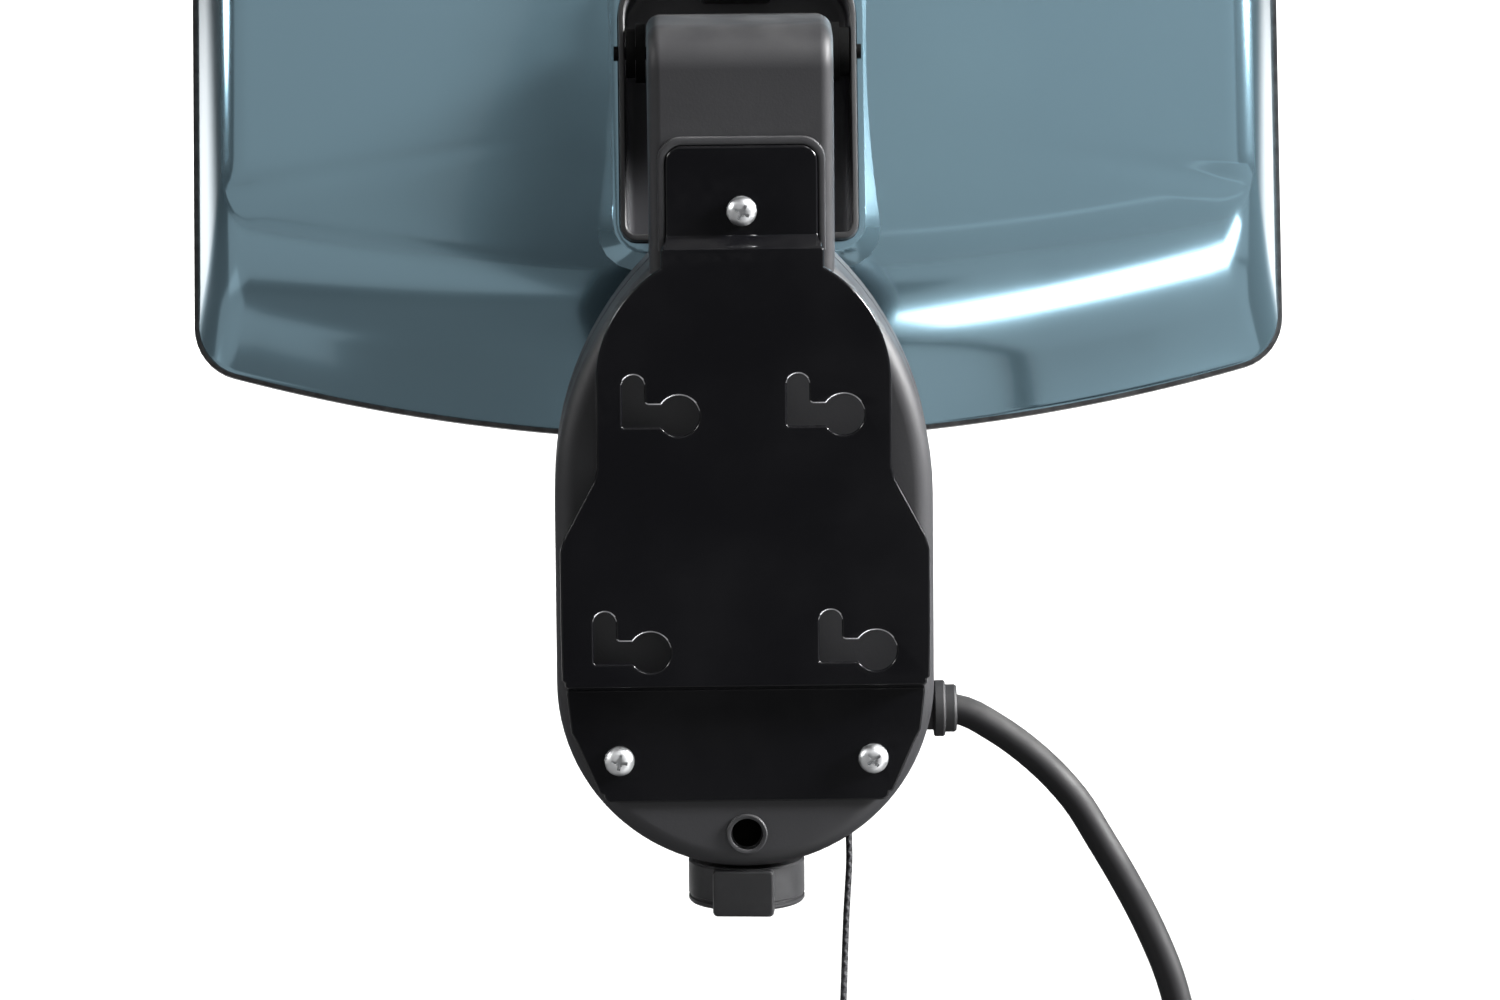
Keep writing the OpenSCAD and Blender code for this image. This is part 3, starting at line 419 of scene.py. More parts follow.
lamp("backdrop", 180, 90, 3.2, (9, 7), 2.4, (0, 7.4, floor_z), beam=110)
lamp("key", 82, 26, 3.0, (1.2, 1.2), 5.2, beam=22)
lamp("side", 45, 52, 3.0, (1.0, 1.0), 0.3, beam=22)
lamp("left_fill", -76, 24, 3.0, (1.2, 1.2), 0.5, beam=22)
lamp("right_panel", 20, 22, 4.0, (3.15, 3.4), 0.28)
lamp("left_panel", -31, 16, 4.0, (2.75, 4.4), 0.29)
lamp("mid_right", 33, -18, 1.6, (1.9, 1.1), 0.28, (0.1, 0.08, 0.06))
lamp("mid_left", -39, -29, 1.6, (1.42, 0.85), 0.27, (-0.1, 0.08, 0.06))
lamp("streak", 35, -39, 1.21, (1.0, 0.2), 5, (0.1, 0.083, 0.06), lean=55)
lamp("low_right", 40, -60, 1.05, (0.93, 0.9), 0.31, (0.1, 0.09, 0.04))
lamp("low_left", -72, -50, 1.1, (0.62, 0.6), 0.25, (-0.1, 0.09, 0.04))


# -------------------- wall plate
# Pressed from steel with a glossy black coat: a raised field with four L keyholes lies on
# the wall, and a tab and a flange step back from it to be screwed to the housing.

def curve_plate(name, outlines, thickness, bevel):
    """A flat plate with round edges, from an outline and its holes drawn in X and Z."""
    data = bpy.data.curves.new(name, "CURVE")
    data.dimensions = "2D"
    data.fill_mode = "BOTH"
    data.extrude = (thickness / 2 - bevel) * mm
    data.bevel_depth = bevel * mm
    data.bevel_resolution = 2
    data.offset = -bevel * mm
    for outline in outlines:
        spline = data.splines.new("POLY")
        spline.points.add(len(outline) - 1)
        for point, (x, z) in zip(spline.points, outline):
            point.co = (x * mm, z * mm, 0, 1)
        spline.use_cyclic_u = True
    mesh = baked(show(name, data))
    bpy.data.curves.remove(data)
    form = bmesh.new()
    form.from_mesh(mesh)
    for v in form.verts:
        v.co = Vector((v.co.x, thickness / 2 * mm + v.co.z, v.co.y))
    bmesh.ops.remove_doubles(form, verts=form.verts, dist=1e-6)
    bmesh.ops.recalc_face_normals(form, faces=form.faces)
    form.to_mesh(mesh)
    form.free()
    mesh.name = name
    return mesh


def arc(cx, cz, r, start, stop, steps):
    """Points along an arc, in degrees from +X towards +Z."""
    return [(cx + r * cos(radians(start + (stop - start) * i / steps)),
             cz + r * sin(radians(start + (stop - start) * i / steps))) for i in range(steps + 1)]


plate_t = 1.5
plate_edge_r = 0.6
joggle = 8
entry_r, slot_w, slot_step, slot_rise = 6.15, 6.7, 13.5, 12.4
keyhole_middle, keyhole_rows = 5.2, ((24.45, 35.8), (33.65, -35.8))
keyholes = [(keyhole_middle + way * x, z) for x, z in keyhole_rows for way in (-1, 1)]


def keyhole(x, z):
    """An L keyhole: round entry, level slot, and a hanging slot that goes up."""
    half = slot_w / 2
    open_at = degrees(asin(half / entry_r))
    left = x - slot_step
    corner, sharp = 1.2, 0.8
    return (arc(x, z, entry_r, -180 + open_at, 180 - open_at, 40)
            + arc(left + half + corner, z + half + corner, corner, 270, 180, 6)
            + arc(left, z + slot_rise - half, half, 0, 180, 16)
            + arc(left - half + sharp, z - half + sharp, sharp, 180, 270, 4))


tab, strip, shoulder, shoulder_z = 22.6, 24.1, 39.7, 46.0
field, wide = 43.8, 55.0
shoulder_end = degrees(asin((strip - field + shoulder) / shoulder))
half_plate = (arc(tab - 5, 110.5, 5, 90, 0, 8)
              + [(tab, 100), (tab, 92), (tab, 89.5)]
              + arc(tab + 1.4, 88.2, 1.4, 180, 250, 4)
              + arc(strip - 0.6, 85.4, 0.6, 70, 0, 3)
              + [(strip, 83)]
              + arc(field - shoulder, shoulder_z, shoulder, 90 - shoulder_end, 0, 24)
              + [(field, 40), (field, 20)]
              + [(field + 1, 16), (wide - 1.2, -1)] + [(wide, -5), (wide, -30), (wide - 0.2, -44)]
              + arc(wide - 2.4, -45.2, 1.4, 20, -60, 4)
              + [(53.6, -50), (52.3, -61.7), (50.6, -65), (43.9, -80.4)]
              + arc(40.3, -80.8, 2.4, 0, -90, 5))
outer = half_plate + [(-x, z) for x, z in reversed(half_plate)]
screw_places = [(0, 96), (-38, -70.3), (38, -70.3)]
screw_hole_r = 2.7
holes = [keyhole(x, z) for x, z in keyholes]
holes += [arc(x, z, screw_hole_r, 360, 15, 23) for x, z in screw_places]
plate_mesh = curve_plate("wall_plate", [outer] + holes, plate_t, plate_edge_r)
bend_high, bend_low = (85.8, 88.8), (-46.0, -49.2)
bend_lines = [a + (b - a) * k / 8 for a, b in (bend_high, bend_low) for k in range(9)]
form = bmesh.new()
form.from_mesh(plate_mesh)
for z in bend_lines:
    bmesh.ops.bisect_plane(form, geom=form.verts[:] + form.edges[:] + form.faces[:],
                           plane_co=(0, 0, z * mm), plane_no=(0, 0, 1))


def eased(t):
    t = min(max(t, 0), 1)
    return t * t * (3 - 2 * t)


for v in form.verts:
    z = v.co.z / mm
    v.co.y += joggle * mm * max(eased((z - bend_high[0]) / (bend_high[1] - bend_high[0])),
                                eased((z - bend_low[0]) / (bend_low[1] - bend_low[0])))
form.to_mesh(plate_mesh)
form.free()
smooth(plate_mesh, 40)
black_gloss = finish("black_gloss_coat", (0.0028, 0.0028, 0.0036), 0.12, ior=1.45,
                     grain_size=0.0016, grain_height=0.000006, dull=0.1, wear=0.04,
                     worn=(0.1, 0.1, 0.1), dust=0.02, patch=25)
painted_highlight_edge = finish("painted_highlight_edge", (0.85, 0.85, 0.88), 0.22, metallic=1.0, grain_size=0.0005)
wall_plate = place(plate_mesh, "wall_plate", "base", black_gloss, painted_highlight_edge)
# The punched edges at the top of each keyhole take a bright metal finish: a painted highlight, where
# they catch the light from below
for face in wall_plate.data.polygons:
    at, n = face.center / mm, face.normal
    if n.z < -0.15 and -0.97 < n.y < -0.12 and any(
            -18 < at.x - x < 7 and -7 < at.z - z < 14 for x, z in keyholes):
        face.material_index = 1
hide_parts("mount_plate")


# -------------------- screws
# Zinc-plated pan-head screws with a cross recess; the same head serves the plate, the
# housing and the hood's frame, turned once and set wherever a screw goes.

def spot(axis, u, v, a):
    """A point a along an axis and (u, v) off it."""
    return {"X": Vector((a, u, v)), "Y": Vector((u, a, v)), "Z": Vector((u, v, a))}[axis]


def lathe(name, profile, sides=48, axis="Y", at=(0, 0, 0), angle=35):
    """Turns a profile of (radius, along) points about an axis, closed at both ends."""
    form = bmesh.new()
    rings = []
    for r, a in profile:
        turns = [2 * pi * j / sides for j in range(sides if r else 1)]
        rings.append([form.verts.new((spot(axis, r * cos(t), r * sin(t), a) + Vector(at)) * mm)
                      for t in turns])
    for a, b in zip(rings, rings[1:]):
        for j in range(sides):
            k = (j + 1) % sides
            corners = [a[j % len(a)], a[k % len(a)], b[k % len(b)], b[j % len(b)]]
            corners = [c for i, c in enumerate(corners) if c not in corners[:i]]
            if len(corners) > 2:
                form.faces.new(corners)
    for ring in (rings[0], rings[-1]):
        if len(ring) > 1:
            form.faces.new(ring)
    return settle(form, bpy.data.meshes.new(name), angle)


def cut(mesh, cutter):
    """Cuts one mesh out of another."""
    solid, tool = show("solid", mesh), show("tool", cutter)
    boolean = solid.modifiers.new("cut", "BOOLEAN")
    boolean.operation = "DIFFERENCE"
    boolean.solver = "EXACT"
    boolean.use_self = True
    boolean.object = tool
    result = baked(solid)
    bpy.data.objects.remove(tool)
    return result


def gather(mesh, others):
    """Adds other meshes to a mesh."""
    form = bmesh.new()
    for part in (mesh, *others):
        form.from_mesh(part)
    form.to_mesh(mesh)
    form.free()
    return mesh


def boxes_mesh(boxes):
    """A mesh of boxes, each given by two opposite corners."""
    form = bmesh.new()
    for low, high in boxes:
        for v in bmesh.ops.create_cube(form, size=1.0)["verts"]:
            v.co = Vector([(a + b) / 2 + (b - a) * c for a, b, c in zip(low, high, v.co)]) * mm
    return settle(form, bpy.data.meshes.new("boxes"))


def pan_head(head_r, head_h, shank_r, shank):
    """A pan-head screw along +Y, its head's seat at zero, with its cross recess cut."""
    crown = ((0, 1), (0.35, 1), (0.62, 0.94), (0.86, 0.74), (0.98, 0.42), (1, 0.12), (0.98, 0))
    profile = [(head_r * r, -head_h * h) for r, h in crown]
    profile += [(shank_r, 0), (shank_r, shank), (0, shank)]
    arm, width = head_r * 0.52, head_r * 0.11
    core = width * 2
    cross = boxes_mesh([((-arm, -head_h * 1.2, -width), (arm, -head_h * 0.45, width)),
                        ((-width, -head_h * 1.25, -arm), (width, -head_h * 0.4, arm)),
                        ((-core, -head_h * 1.3, -core), (core, -head_h * 0.7, core))])
    made = cut(lathe("screw", profile, 40, angle=40), cross)
    smooth(made, 40)
    return made


# Sets a template on every point of a mesh; each point's "lean" turns its copy.
copies_tree, taken, given = node_group(
    "set_copies", [("Points", "Geometry", None), ("Template", "Object", None),
                   ("Finish", "Material", None)], [("Copies", "Geometry")], "Geometry")
lean = copies_tree.nodes.new("GeometryNodeInputNamedAttribute")
lean.data_type = "FLOAT_VECTOR"
lean.inputs["Name"].default_value = "lean"
points = node(copies_tree, "GeometryNodeMeshToPoints", Mesh=taken["Points"])
template = node(copies_tree, "GeometryNodeObjectInfo", Object=taken["Template"])
copies = node(copies_tree, "GeometryNodeInstanceOnPoints", Points=points["Points"],
              Instance=template["Geometry"], Rotation=lean.outputs["Attribute"])
real = node(copies_tree, "GeometryNodeRealizeInstances", Geometry=copies["Instances"])
painted = node(copies_tree, "GeometryNodeSetMaterial", Geometry=real["Geometry"],
               Material=taken["Finish"])
give(copies_tree, given["Copies"], painted["Geometry"])


def grown(holder, tree, **values):
    """The mesh that a geometry tree makes of an object, with its named inputs set."""
    modifier = holder.modifiers.new(tree.name, "NODES")
    modifier.node_group = tree
    for name, value in values.items():
        modifier[tree.interface.items_tree[name].identifier] = value
    return baked(holder)


def set_copies(name, mesh, places, material, body):
    """Sets copies of a mesh at places, each (position, turn about X, Y, Z)."""
    template = show(name + "_template", mesh)
    points = bpy.data.meshes.new(name + "_points")
    points.from_pydata([p for p, _ in places], [], [])
    leans = points.attributes.new("lean", "FLOAT_VECTOR", "POINT")
    leans.data.foreach_set("vector", [c for _, turned in places for c in turned])
    made = grown(show(name + "_holder", points), copies_tree, Template=template, Finish=material)
    bpy.data.objects.remove(template)
    made.name = name
    return place(made, name, body)


zinc = finish("zinc_plating", (0.62, 0.63, 0.64), 0.4, metallic=1.0, grain_height=0.000012,
              dull=0.2, wear=0.3, worn=(0.75, 0.74, 0.7), patch=300)
plate_turns = (0.5, 0.15, 0.95)
plate_screws = set_copies(
    "plate_pan_heads", pan_head(4.5, 3.1, 2.5, 12),
    [(Vector((x, joggle, z)) * mm, (0, t, 0)) for (x, z), t in zip(screw_places, plate_turns)],
    zinc, "base")
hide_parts("plate_screws")
cover_places = [(44, -20), (-44, -20), (28, 60), (-28, 60)]
cover_seat = 12.5
housing_screws = set_copies(
    "housing_pan_heads", pan_head(3.6, 2.1, 2, 30),
    [(Vector((x, cover_seat, z)) * mm, (0, 0.3 * i, 0)) for i, (x, z) in enumerate(cover_places)],
    zinc, "base")
# The screw deep in the low bore is short, with a flat head, and near-pure black with almost no
# reflection: painted shade deep in the bore
low_bore_z, low_bore_r = -93.5, 4.8
low_screw = lathe("low_screw", [(0, 11.7), (4.2, 11.7), (4.5, 12.0), (4.5, 13.8), (2.0, 13.9),
                                (2.0, 21.8), (0, 21.8)], at=(0, 0, low_bore_z))
gather(housing_screws.data, [low_screw])
painted_shade_slot = len(housing_screws.data.materials)
housing_screws.data.materials.append(
    finish("painted_shade_screw", (0.001, 0.001, 0.001), 0.8, ior=1.06))
for face in housing_screws.data.polygons:
    if face.center.z < 0.9 * low_bore_z * mm:
        face.use_smooth = False
        face.material_index = painted_shade_slot
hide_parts("housing_screws")


# -------------------- housing
# Two moulded shells of charcoal plastic with a fine spark-eroded grain; the rear one
# runs up into the neck, which bends forward to the barrel that carries the hood.

house_hw, house_low, house_mid, shoulder_r, house_top = 56.5, -48.0, 9.0, 98.0, 82.0
house_rear, house_front = 9.5, 50.0


def house_outline(inset):
    """The housing seen from the wall, drawn in by an amount; anticlockwise from +X."""
    r = house_hw - inset
    top = house_top - inset
    sx = shoulder_r - house_hw
    big = shoulder_r - inset
    lift = degrees(asin(min((top - house_mid) / big, 1)))
    right = arc(-sx, house_mid, big, 0, lift, 14)
    left = [(-x, z) for x, z in reversed(right)]
    corner = [(right[-1][0] - 3, top), (left[0][0] + 3, top)]
    return right + corner + left + arc(0, house_low, r, 180, 360, 48)


def loft(name, rings, angle=35, around=False):
    """A skin over rings of points, capped at both ends or run around to its first ring."""
    form = bmesh.new()
    made = [[form.verts.new(p) for p in ring] for ring in rings]
    if around:
        made.append(made[0])
    n = len(rings[0])
    for a, b in zip(made, made[1:]):
        for j in range(n):
            k = (j + 1) % n
            form.faces.new((a[j], a[k], b[k], b[j]))
    if not around:
        form.faces.new(made[0][::-1])
        form.faces.new(made[-1])
    bmesh.ops.remove_doubles(form, verts=form.verts, dist=1e-7)
    return settle(form, bpy.data.meshes.new(name), angle)


def shell_rings(near, far, round_r, wall):
    """Rings of an open shell whose closed face is at near, rounded, and mouth at far."""
    way = 1 if far > near else -1
    rings = [(round_r + 4, near)]
    for i in range(9):
        a = pi / 2 * i / 8
        rings.append((round_r * (1 - sin(a)), near + way * round_r * (1 - cos(a))))
    rings += [(0, far), (wall, far), (wall + 1, near + way * (round_r * 0.5 + wall)),
              (round_r, near + way * wall)]
    return [wall_ring(house_outline(inset), y) for inset, y in rings]


rear_edge, front_edge, shell_t, seam, seam_gap = 6.0, 9, 3, 30.0, 0.6
charcoal = finish("charcoal_moulding", (0.016, 0.016, 0.018), 0.56, grain_size=0.0007,
                  grain_height=0.000028, dull=0.1, wear=0.12, worn=(0.09, 0.09, 0.095),
                  dust=0.06, patch=30)
rear_shell = loft("rear_shell_body", shell_rings(house_rear, seam - seam_gap, rear_edge, shell_t))
front_shell = loft("front_shell_cover", shell_rings(house_front, seam + seam_gap, front_edge, shell_t))
front_shell = place(front_shell, "front_shell_cover", "base", charcoal)
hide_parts("front_shell")

# The bores that open on the rear shell's wall face and take its screws
bore_from, bore_to, cover_bore_r = 6, 11.9, 3.9
bore_places = [(x, z, cover_bore_r) for x, z in cover_places] + [(0, low_bore_z, low_bore_r)]
bores = gather(bpy.data.meshes.new("bores"), [
    lathe("bore", [(r, bore_from), (r, bore_to)], at=(x, 0, z)) for x, z, r in bore_places])
rear_shell = cut(rear_shell, bores)
smooth(rear_shell, 35)

# The neck: a rounded bar that rises, bends over and runs forward to the barrel
neck_hw, neck_top, neck_bend, pivot_y, pivot_z, barrel_r = 27.6, 150.0, 12.0, 85.0, 132.0, 11.7


def neck_side():
    """Side view of the neck in Y and Z, from the rear foot over the top to the front."""
    return ([(house_rear, 66), (house_rear, 120)]
            + arc(house_rear + neck_bend, neck_top - neck_bend, neck_bend, 180, 90, 12)
            + [(30, neck_top)] + arc(38, neck_top - 9, 9, 88, 78, 3)
            + arc(pivot_y, pivot_z, barrel_r, 96, -96, 16)
            + [(pivot_y - 3, pivot_z - barrel_r)] + arc(46, 104, 9.6, 98, 172, 7)
            + [(36, 92), (36, 66)])


def rounded_bar(name, side, half, edge):
    """A side view drawn in Y and Z, thickened along X, with its edges rounded."""
    n = len(side)
    inward = []
    for i in range(n):
        a, b = Vector(side[i - 1]), Vector(side[(i + 1) % n])
        d = (b - a).normalized()
        inward.append(Vector((d.y, -d.x)))
    rings = []
    turns = [pi / 2 * i / 5 for i in range(6)]
    ways = [(edge * (1 - sin(t)), -half + edge * (1 - cos(t))) for t in turns]
    for inset, x in ways + [(i, -x) for i, x in reversed(ways)]:
        rings.append([Vector((x, p[0] + inset * w.x, p[1] + inset * w.y)) * mm
                      for p, w in zip(side, inward)])
    return loft(name, rings, angle=30)


neck = rounded_bar("neck", neck_side(), neck_hw, 4.0)


def joined(name, meshes, body, *materials):
    """Joins meshes into one piece."""
    return place(gather(bpy.data.meshes.new(name), meshes), name, body, *materials)


# The raised lip round the plate's tab, and the ring round the low screw's bore
lip_foot = 84


def lip_ring(half, high, r):
    """An arch with two round corners, open to its straight foot."""
    return (arc(half - r, high - r, r, 0, 90, 8) + arc(-half + r, high - r, r, 90, 180, 8)
            + [(-half, lip_foot), (half, lip_foot)])


outer_lip = lip_ring(24.9, 118.2, 7)
inner_lip = lip_ring(22.9, 115.9, 5.4)
lip_mesh = loft("tab_lip", [wall_ring(ring, y) for ring, y in (
    (outer_lip, 10.2), (outer_lip, 9.5), (lip_ring(24.8, 118.1, 6.9), 8.6),
    (lip_ring(24.5, 117.8, 6.7), 8.3), (lip_ring(23.3, 116.4, 5.8), 8.3), (inner_lip, 8.5),
    (inner_lip, 10.2))], angle=50)
ring_mesh = lathe("ring", [(low_bore_r, 12), (low_bore_r, 8.9), (5.1, 8.7), (5.8, 8.7),
                           (6.15, 9.0), (6.3, 12), (low_bore_r, 12)], at=(0, 0, low_bore_z))
rear_body = joined("rear_shell_and_neck", [rear_shell, neck, lip_mesh, ring_mesh], "base", charcoal)
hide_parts("rear_shell")
seal = finish("seal_rubber", (0.012, 0.012, 0.013), 0.6, grain_size=0.0009, dull=0.15)
dress(seal, "shell_gasket", "cord_eyelet")


# -------------------- cable gland
# A two-step collar of black rubber that grips the cord where it leaves the housing.

gland_profile = [(4.55, 46), (8.2, 46), (8.2, 49.1), (6.5, 49.3), (6.5, 56.6), (8.1, 56.8),
                 (8.5, 57.2), (8.5, 59.6), (8.1, 60.1), (7.2, 60.3), (7.2, 62.9), (6.7, 63.6),
                 (5.6, 63.7), (4.7, 63.3), (4.55, 62), (4.55, 46)]
gland_mesh = lathe("gland_collar", gland_profile, axis="X", at=(0, cord_y, -60))
gland = place(gland_mesh, "gland_collar", "base", seal)
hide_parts("cable_gland")


# -------------------- selector knob
# A moulded disc with a full-width grip bar and a thin groove round its foot; it turns
# the heat selector's shaft under the housing.

knob_top = -105.1
knob_profile = [(0, 0), (16.9, 0), (17.5, -0.6), (17.5, -10.4), (17.0, -10.7), (17.0, -11.3),
                (17.5, -11.6), (17.5, -12.4), (17.0, -13), (0, -13)]
knob_disc = lathe("disc", knob_profile, 96, "Z", (0, cord_y, knob_top), 30)
bar_hw, bar_foot, bar_middle = 9.2, -13.1, -7
bar_outline = (arc(bar_hw - 1.5, bar_foot, 1.5, -90, 0, 5) + arc(bar_hw - 1.2, -1.6, 1.2, 0, 90, 4)
               + arc(-bar_hw + 1.2, -1.6, 1.2, 90, 180, 4)
               + arc(-bar_hw + 1.5, bar_foot, 1.5, 180, 270, 5))
bar_rings = []
for y, inset in ((11.5, 0.9), (11.8, 0.3), (12.4, 0.0), (42.6, 0.0), (43.2, 0.3), (43.5, 0.9)):
    bar_rings.append(wall_ring([(x * (1 - inset / bar_hw),
                                 knob_top + z + inset * (1 if z < bar_middle else -1))
                                for x, z in bar_outline], y))
knob_bar = loft("bar", bar_rings)
knob_axis = Matrix.Translation((0, cord_y * mm, 0))
knob_bar.transform(knob_axis @ Matrix.Rotation(radians(-4), 4, "Z") @ knob_axis.inverted())
knob_plastic = finish("knob_plastic", (0.011, 0.011, 0.012), 0.42, grain_height=0.00002,
                      dull=0.1, wear=0.2, worn=(0.08, 0.08, 0.085))
knob = joined("heat_knob", [knob_disc, knob_bar], "selector", knob_plastic)
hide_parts("selector_knob")
dress(zinc, "selector_shaft", "lever_pin", "return_spring", "clamp_screws", "pull_stop",
      "tub_screws", "reflector_brackets", "end_plates", "thermal_cutout", "plug_pins")


# -------------------- hood
# A wide pan of pressed steel in blue-grey metallic paint: a crowned back, a soft bend, four
# walls that lean out to a bowed rim, and a raised pad that the pocket is let into.

rest_tilt = radians(18)
hood_at = Vector((0, pivot_y, pivot_z)) * mm
hood_d = Vector((0, cos(rest_tilt), -sin(rest_tilt)))
hood_w = Vector((0, sin(rest_tilt), cos(rest_tilt)))
rim_hw, rim_hh, bow_r, rim_corner, rim_d = 166.0, 111.0, 584.0, 15.0, 50.0
skin_t = 1.2


def on_hood(x, d, w):
    """A point of the hood: across it, forward of the tilt pin, and up its back."""
    return hood_at + Vector((x * mm, 0, 0)) + hood_d * (d * mm) + hood_w * (w * mm)


corner_steps, bow_steps, side_steps = 8, 26, 10


def bow_outline(a, b, r, corner):
    """An outline with bowed long edges and round corners; anticlockwise from +X."""
    turned = asin((a - corner) / (r - corner))
    low = b - r + sqrt((r - corner) ** 2 - (a - corner) ** 2)
    quarter = [(a, low * i / side_steps) for i in range(side_steps)]
    quarter += [(a - corner + corner * cos(f), low + corner * sin(f))
                for f in ((pi / 2 - turned) * i / corner_steps for i in range(corner_steps + 1))]
    quarter += [(r * sin(p), b - r + r * cos(p))
                for p in (turned * (1 - i / bow_steps) for i in range(1, bow_steps + 1))]
    return (quarter + [(-x, z) for x, z in reversed(quarter[:-1])]
            + [(-x, -z) for x, z in quarter[1:]] + [(x, -z) for x, z in reversed(quarter[1:-1])])


def back(x, w):
    """Depth of the crowned back."""
    return 0.5 + x * x / 2250 + w * w / 870


# The bend between the back and the wall is a wide curve from one to the other; each level
# has how far it lies in from the rim in X and in W, and its way from the back to the rim
wall_x, wall_w = 8.0, 34.6
bend_from, bend_to = (11.5, 60.0), (3.47, 15.0)
bend_way = 1 - bend_to[1] / wall_w
back_ends = 43.6
# Near its edge the wall turns in a little
turn_in, turned_from = 0.035, 3.0


def bend_at(inset, start, corner, end):
    """How far along the bend a point is that lies so far in from the rim."""
    if inset >= start:
        return 0
    p, q = start - 2 * corner + end, 2 * (corner - start)
    return (-q - sqrt(q * q - 4 * p * (start - inset))) / (2 * p)


hood_levels = []
bend_starts = bend_at(back_ends, bend_from[1], wall_w, bend_to[1])
for i in range(17):
    k = bend_starts + (1 - bend_starts) * i / 16
    a, b, c = (1 - k) ** 2, 2 * k * (1 - k), k * k
    hood_levels.append((a * bend_from[0] + b * wall_x + c * bend_to[0],
                        a * bend_from[1] + b * wall_w + c * bend_to[1], c * bend_way))
wall_length = hypot(wall_w, rim_d)
for k in (0.68, 0.8, 0.9, 0.95, 0.96, 0.97, 0.98, 0.99, 1.0):
    bent_in = turn_in * max(turned_from - wall_length * (1 - k), 0) ** 2
    hood_levels.append((wall_x * (1 - k) + bent_in, wall_w * (1 - k) + bent_in, k))


def skin(x, w):
    """Depth of the back, with the start of the bend where the rim comes near."""
    edge = rim_hh - bow_r + sqrt(bow_r ** 2 - x * x)
    k = max(bend_at(edge - abs(w), bend_from[1], wall_w, bend_to[1]),
            bend_at(rim_hw - abs(x), bend_from[0], wall_x, bend_to[0]))
    way = bend_way * k * k
    return (1 - way) * back(x, w) + way * rim_d


def hood_ring(level_in, drawn):
    """One ring of the hood's skin, from the bend out to the rim."""
    ix, iw, way = level_in
    ring = []
    for x, w in bow_outline(rim_hw - ix - drawn, rim_hh - iw - drawn, bow_r - iw, rim_corner):
        d = (1 - way) * back(x, w) + way * rim_d + drawn
        ring.append(on_hood(x, min(d, rim_d), w))
    return ring


tub_hw, tub_low, tub_high, tub_rear, tub_floor = 36.0, -57.8, 27.0, -3.5, 18.0
tub_r_low, tub_r_high = 5.0, 16.0
tub_middle = (tub_low + tub_high) / 2


def rounded(half, low, high, r_low, r_high, high_steps=8):
    """A box in X and W with round corners, the upper two of their own radius."""
    return (arc(half - r_high, high - r_high, r_high, 0, 90, high_steps)
            + arc(-half + r_high, high - r_high, r_high, 90, 180, high_steps)
            + arc(-half + r_low, low + r_low, r_low, 180, 270, 8)
            + arc(half - r_low, low + r_low, r_low, 270, 360, 8))


def tub_outline(inset):
    """The pocket seen from the wall, drawn in by an amount."""
    return rounded(tub_hw - inset, tub_low + inset, tub_high - inset,
                   max(tub_r_low - inset, 1), max(tub_r_high - inset, 1), 10)


def hood_level(outline, d):
    """An outline in X and W, set at one depth of the hood."""
    return [on_hood(x, d, w) for x, w in outline]


def to_mouth(outline, x, w):
    """Where the line from the pocket's middle to a point crosses an outline round it."""
    px, pw = x, w - tub_middle
    for (ax, aw), (bx, bw) in zip(outline, outline[1:] + outline[:1]):
        ux, uw = bx - ax, bw - aw
        turn = px * uw - pw * ux
        if abs(turn) < 1e-12:
            continue
        t = (ax * uw - (aw - tub_middle) * ux) / turn
        s = (ax * pw - (aw - tub_middle) * px) / turn
        if t > 0 and -1e-9 <= s <= 1 + 1e-9:
            return t * px, tub_middle + t * pw
    return x, w


# The back runs from the pocket's opening out to the bend, so the hood has a real hole
back_shares = (0, 0.06, 0.14, 0.24, 0.36, 0.48, 0.6, 0.7, 0.78, 0.84, 0.89, 0.93, 0.97)


def back_rings(drawn):
    """Rings of the crowned back, from the pocket's opening out to the bend."""
    ix, iw, way = hood_levels[0]
    outer_ring = bow_outline(rim_hw - ix - drawn, rim_hh - iw - drawn, bow_r - iw, rim_corner)
    inner_ring = [to_mouth(tub_outline(-0.3), x, w) for x, w in outer_ring]
    made = []
    for share in back_shares:
        ring = []
        for (x0, w0), (x1, w1) in zip(inner_ring, outer_ring):
            x, w = x0 + (x1 - x0) * share, w0 + (w1 - w0) * share
            gap = (1 - way) * back(x1, w1) + way * rim_d - skin(x1, w1)
            ring.append(on_hood(x, skin(x, w) + gap * share ** 4 + drawn, w))
        made.append(ring)
    return made


rings = back_rings(0) + [hood_ring(level, 0) for level in hood_levels]
rings += [hood_ring(level, skin_t) for level in reversed(hood_levels)] + back_rings(skin_t)[::-1]
hood_mesh = loft("hood_pan", rings, 40, around=True)

# The raised pad, with a bevel that runs out into the crowned back
pad_rear, pad_back, pad_step, pad_sink, pad_tuck = 0.2, 7.8, 0.5, 0.6, 1.3


def spaced(outline, n):
    """An outline walked in n even steps, from +X at its right side."""
    closed = [Vector(p) for p in outline] + [Vector(outline[0])]
    lengths = [0.0]
    for a, b in zip(closed, closed[1:]):
        lengths.append(lengths[-1] + (b - a).length)
    made, i = [], 0
    for k in range(n):
        want = lengths[-1] * k / n
        while lengths[i + 1] < want:
            i += 1
        t = (want - lengths[i]) / max(lengths[i + 1] - lengths[i], 1e-9)
        made.append(closed[i].lerp(closed[i + 1], t))
    return made


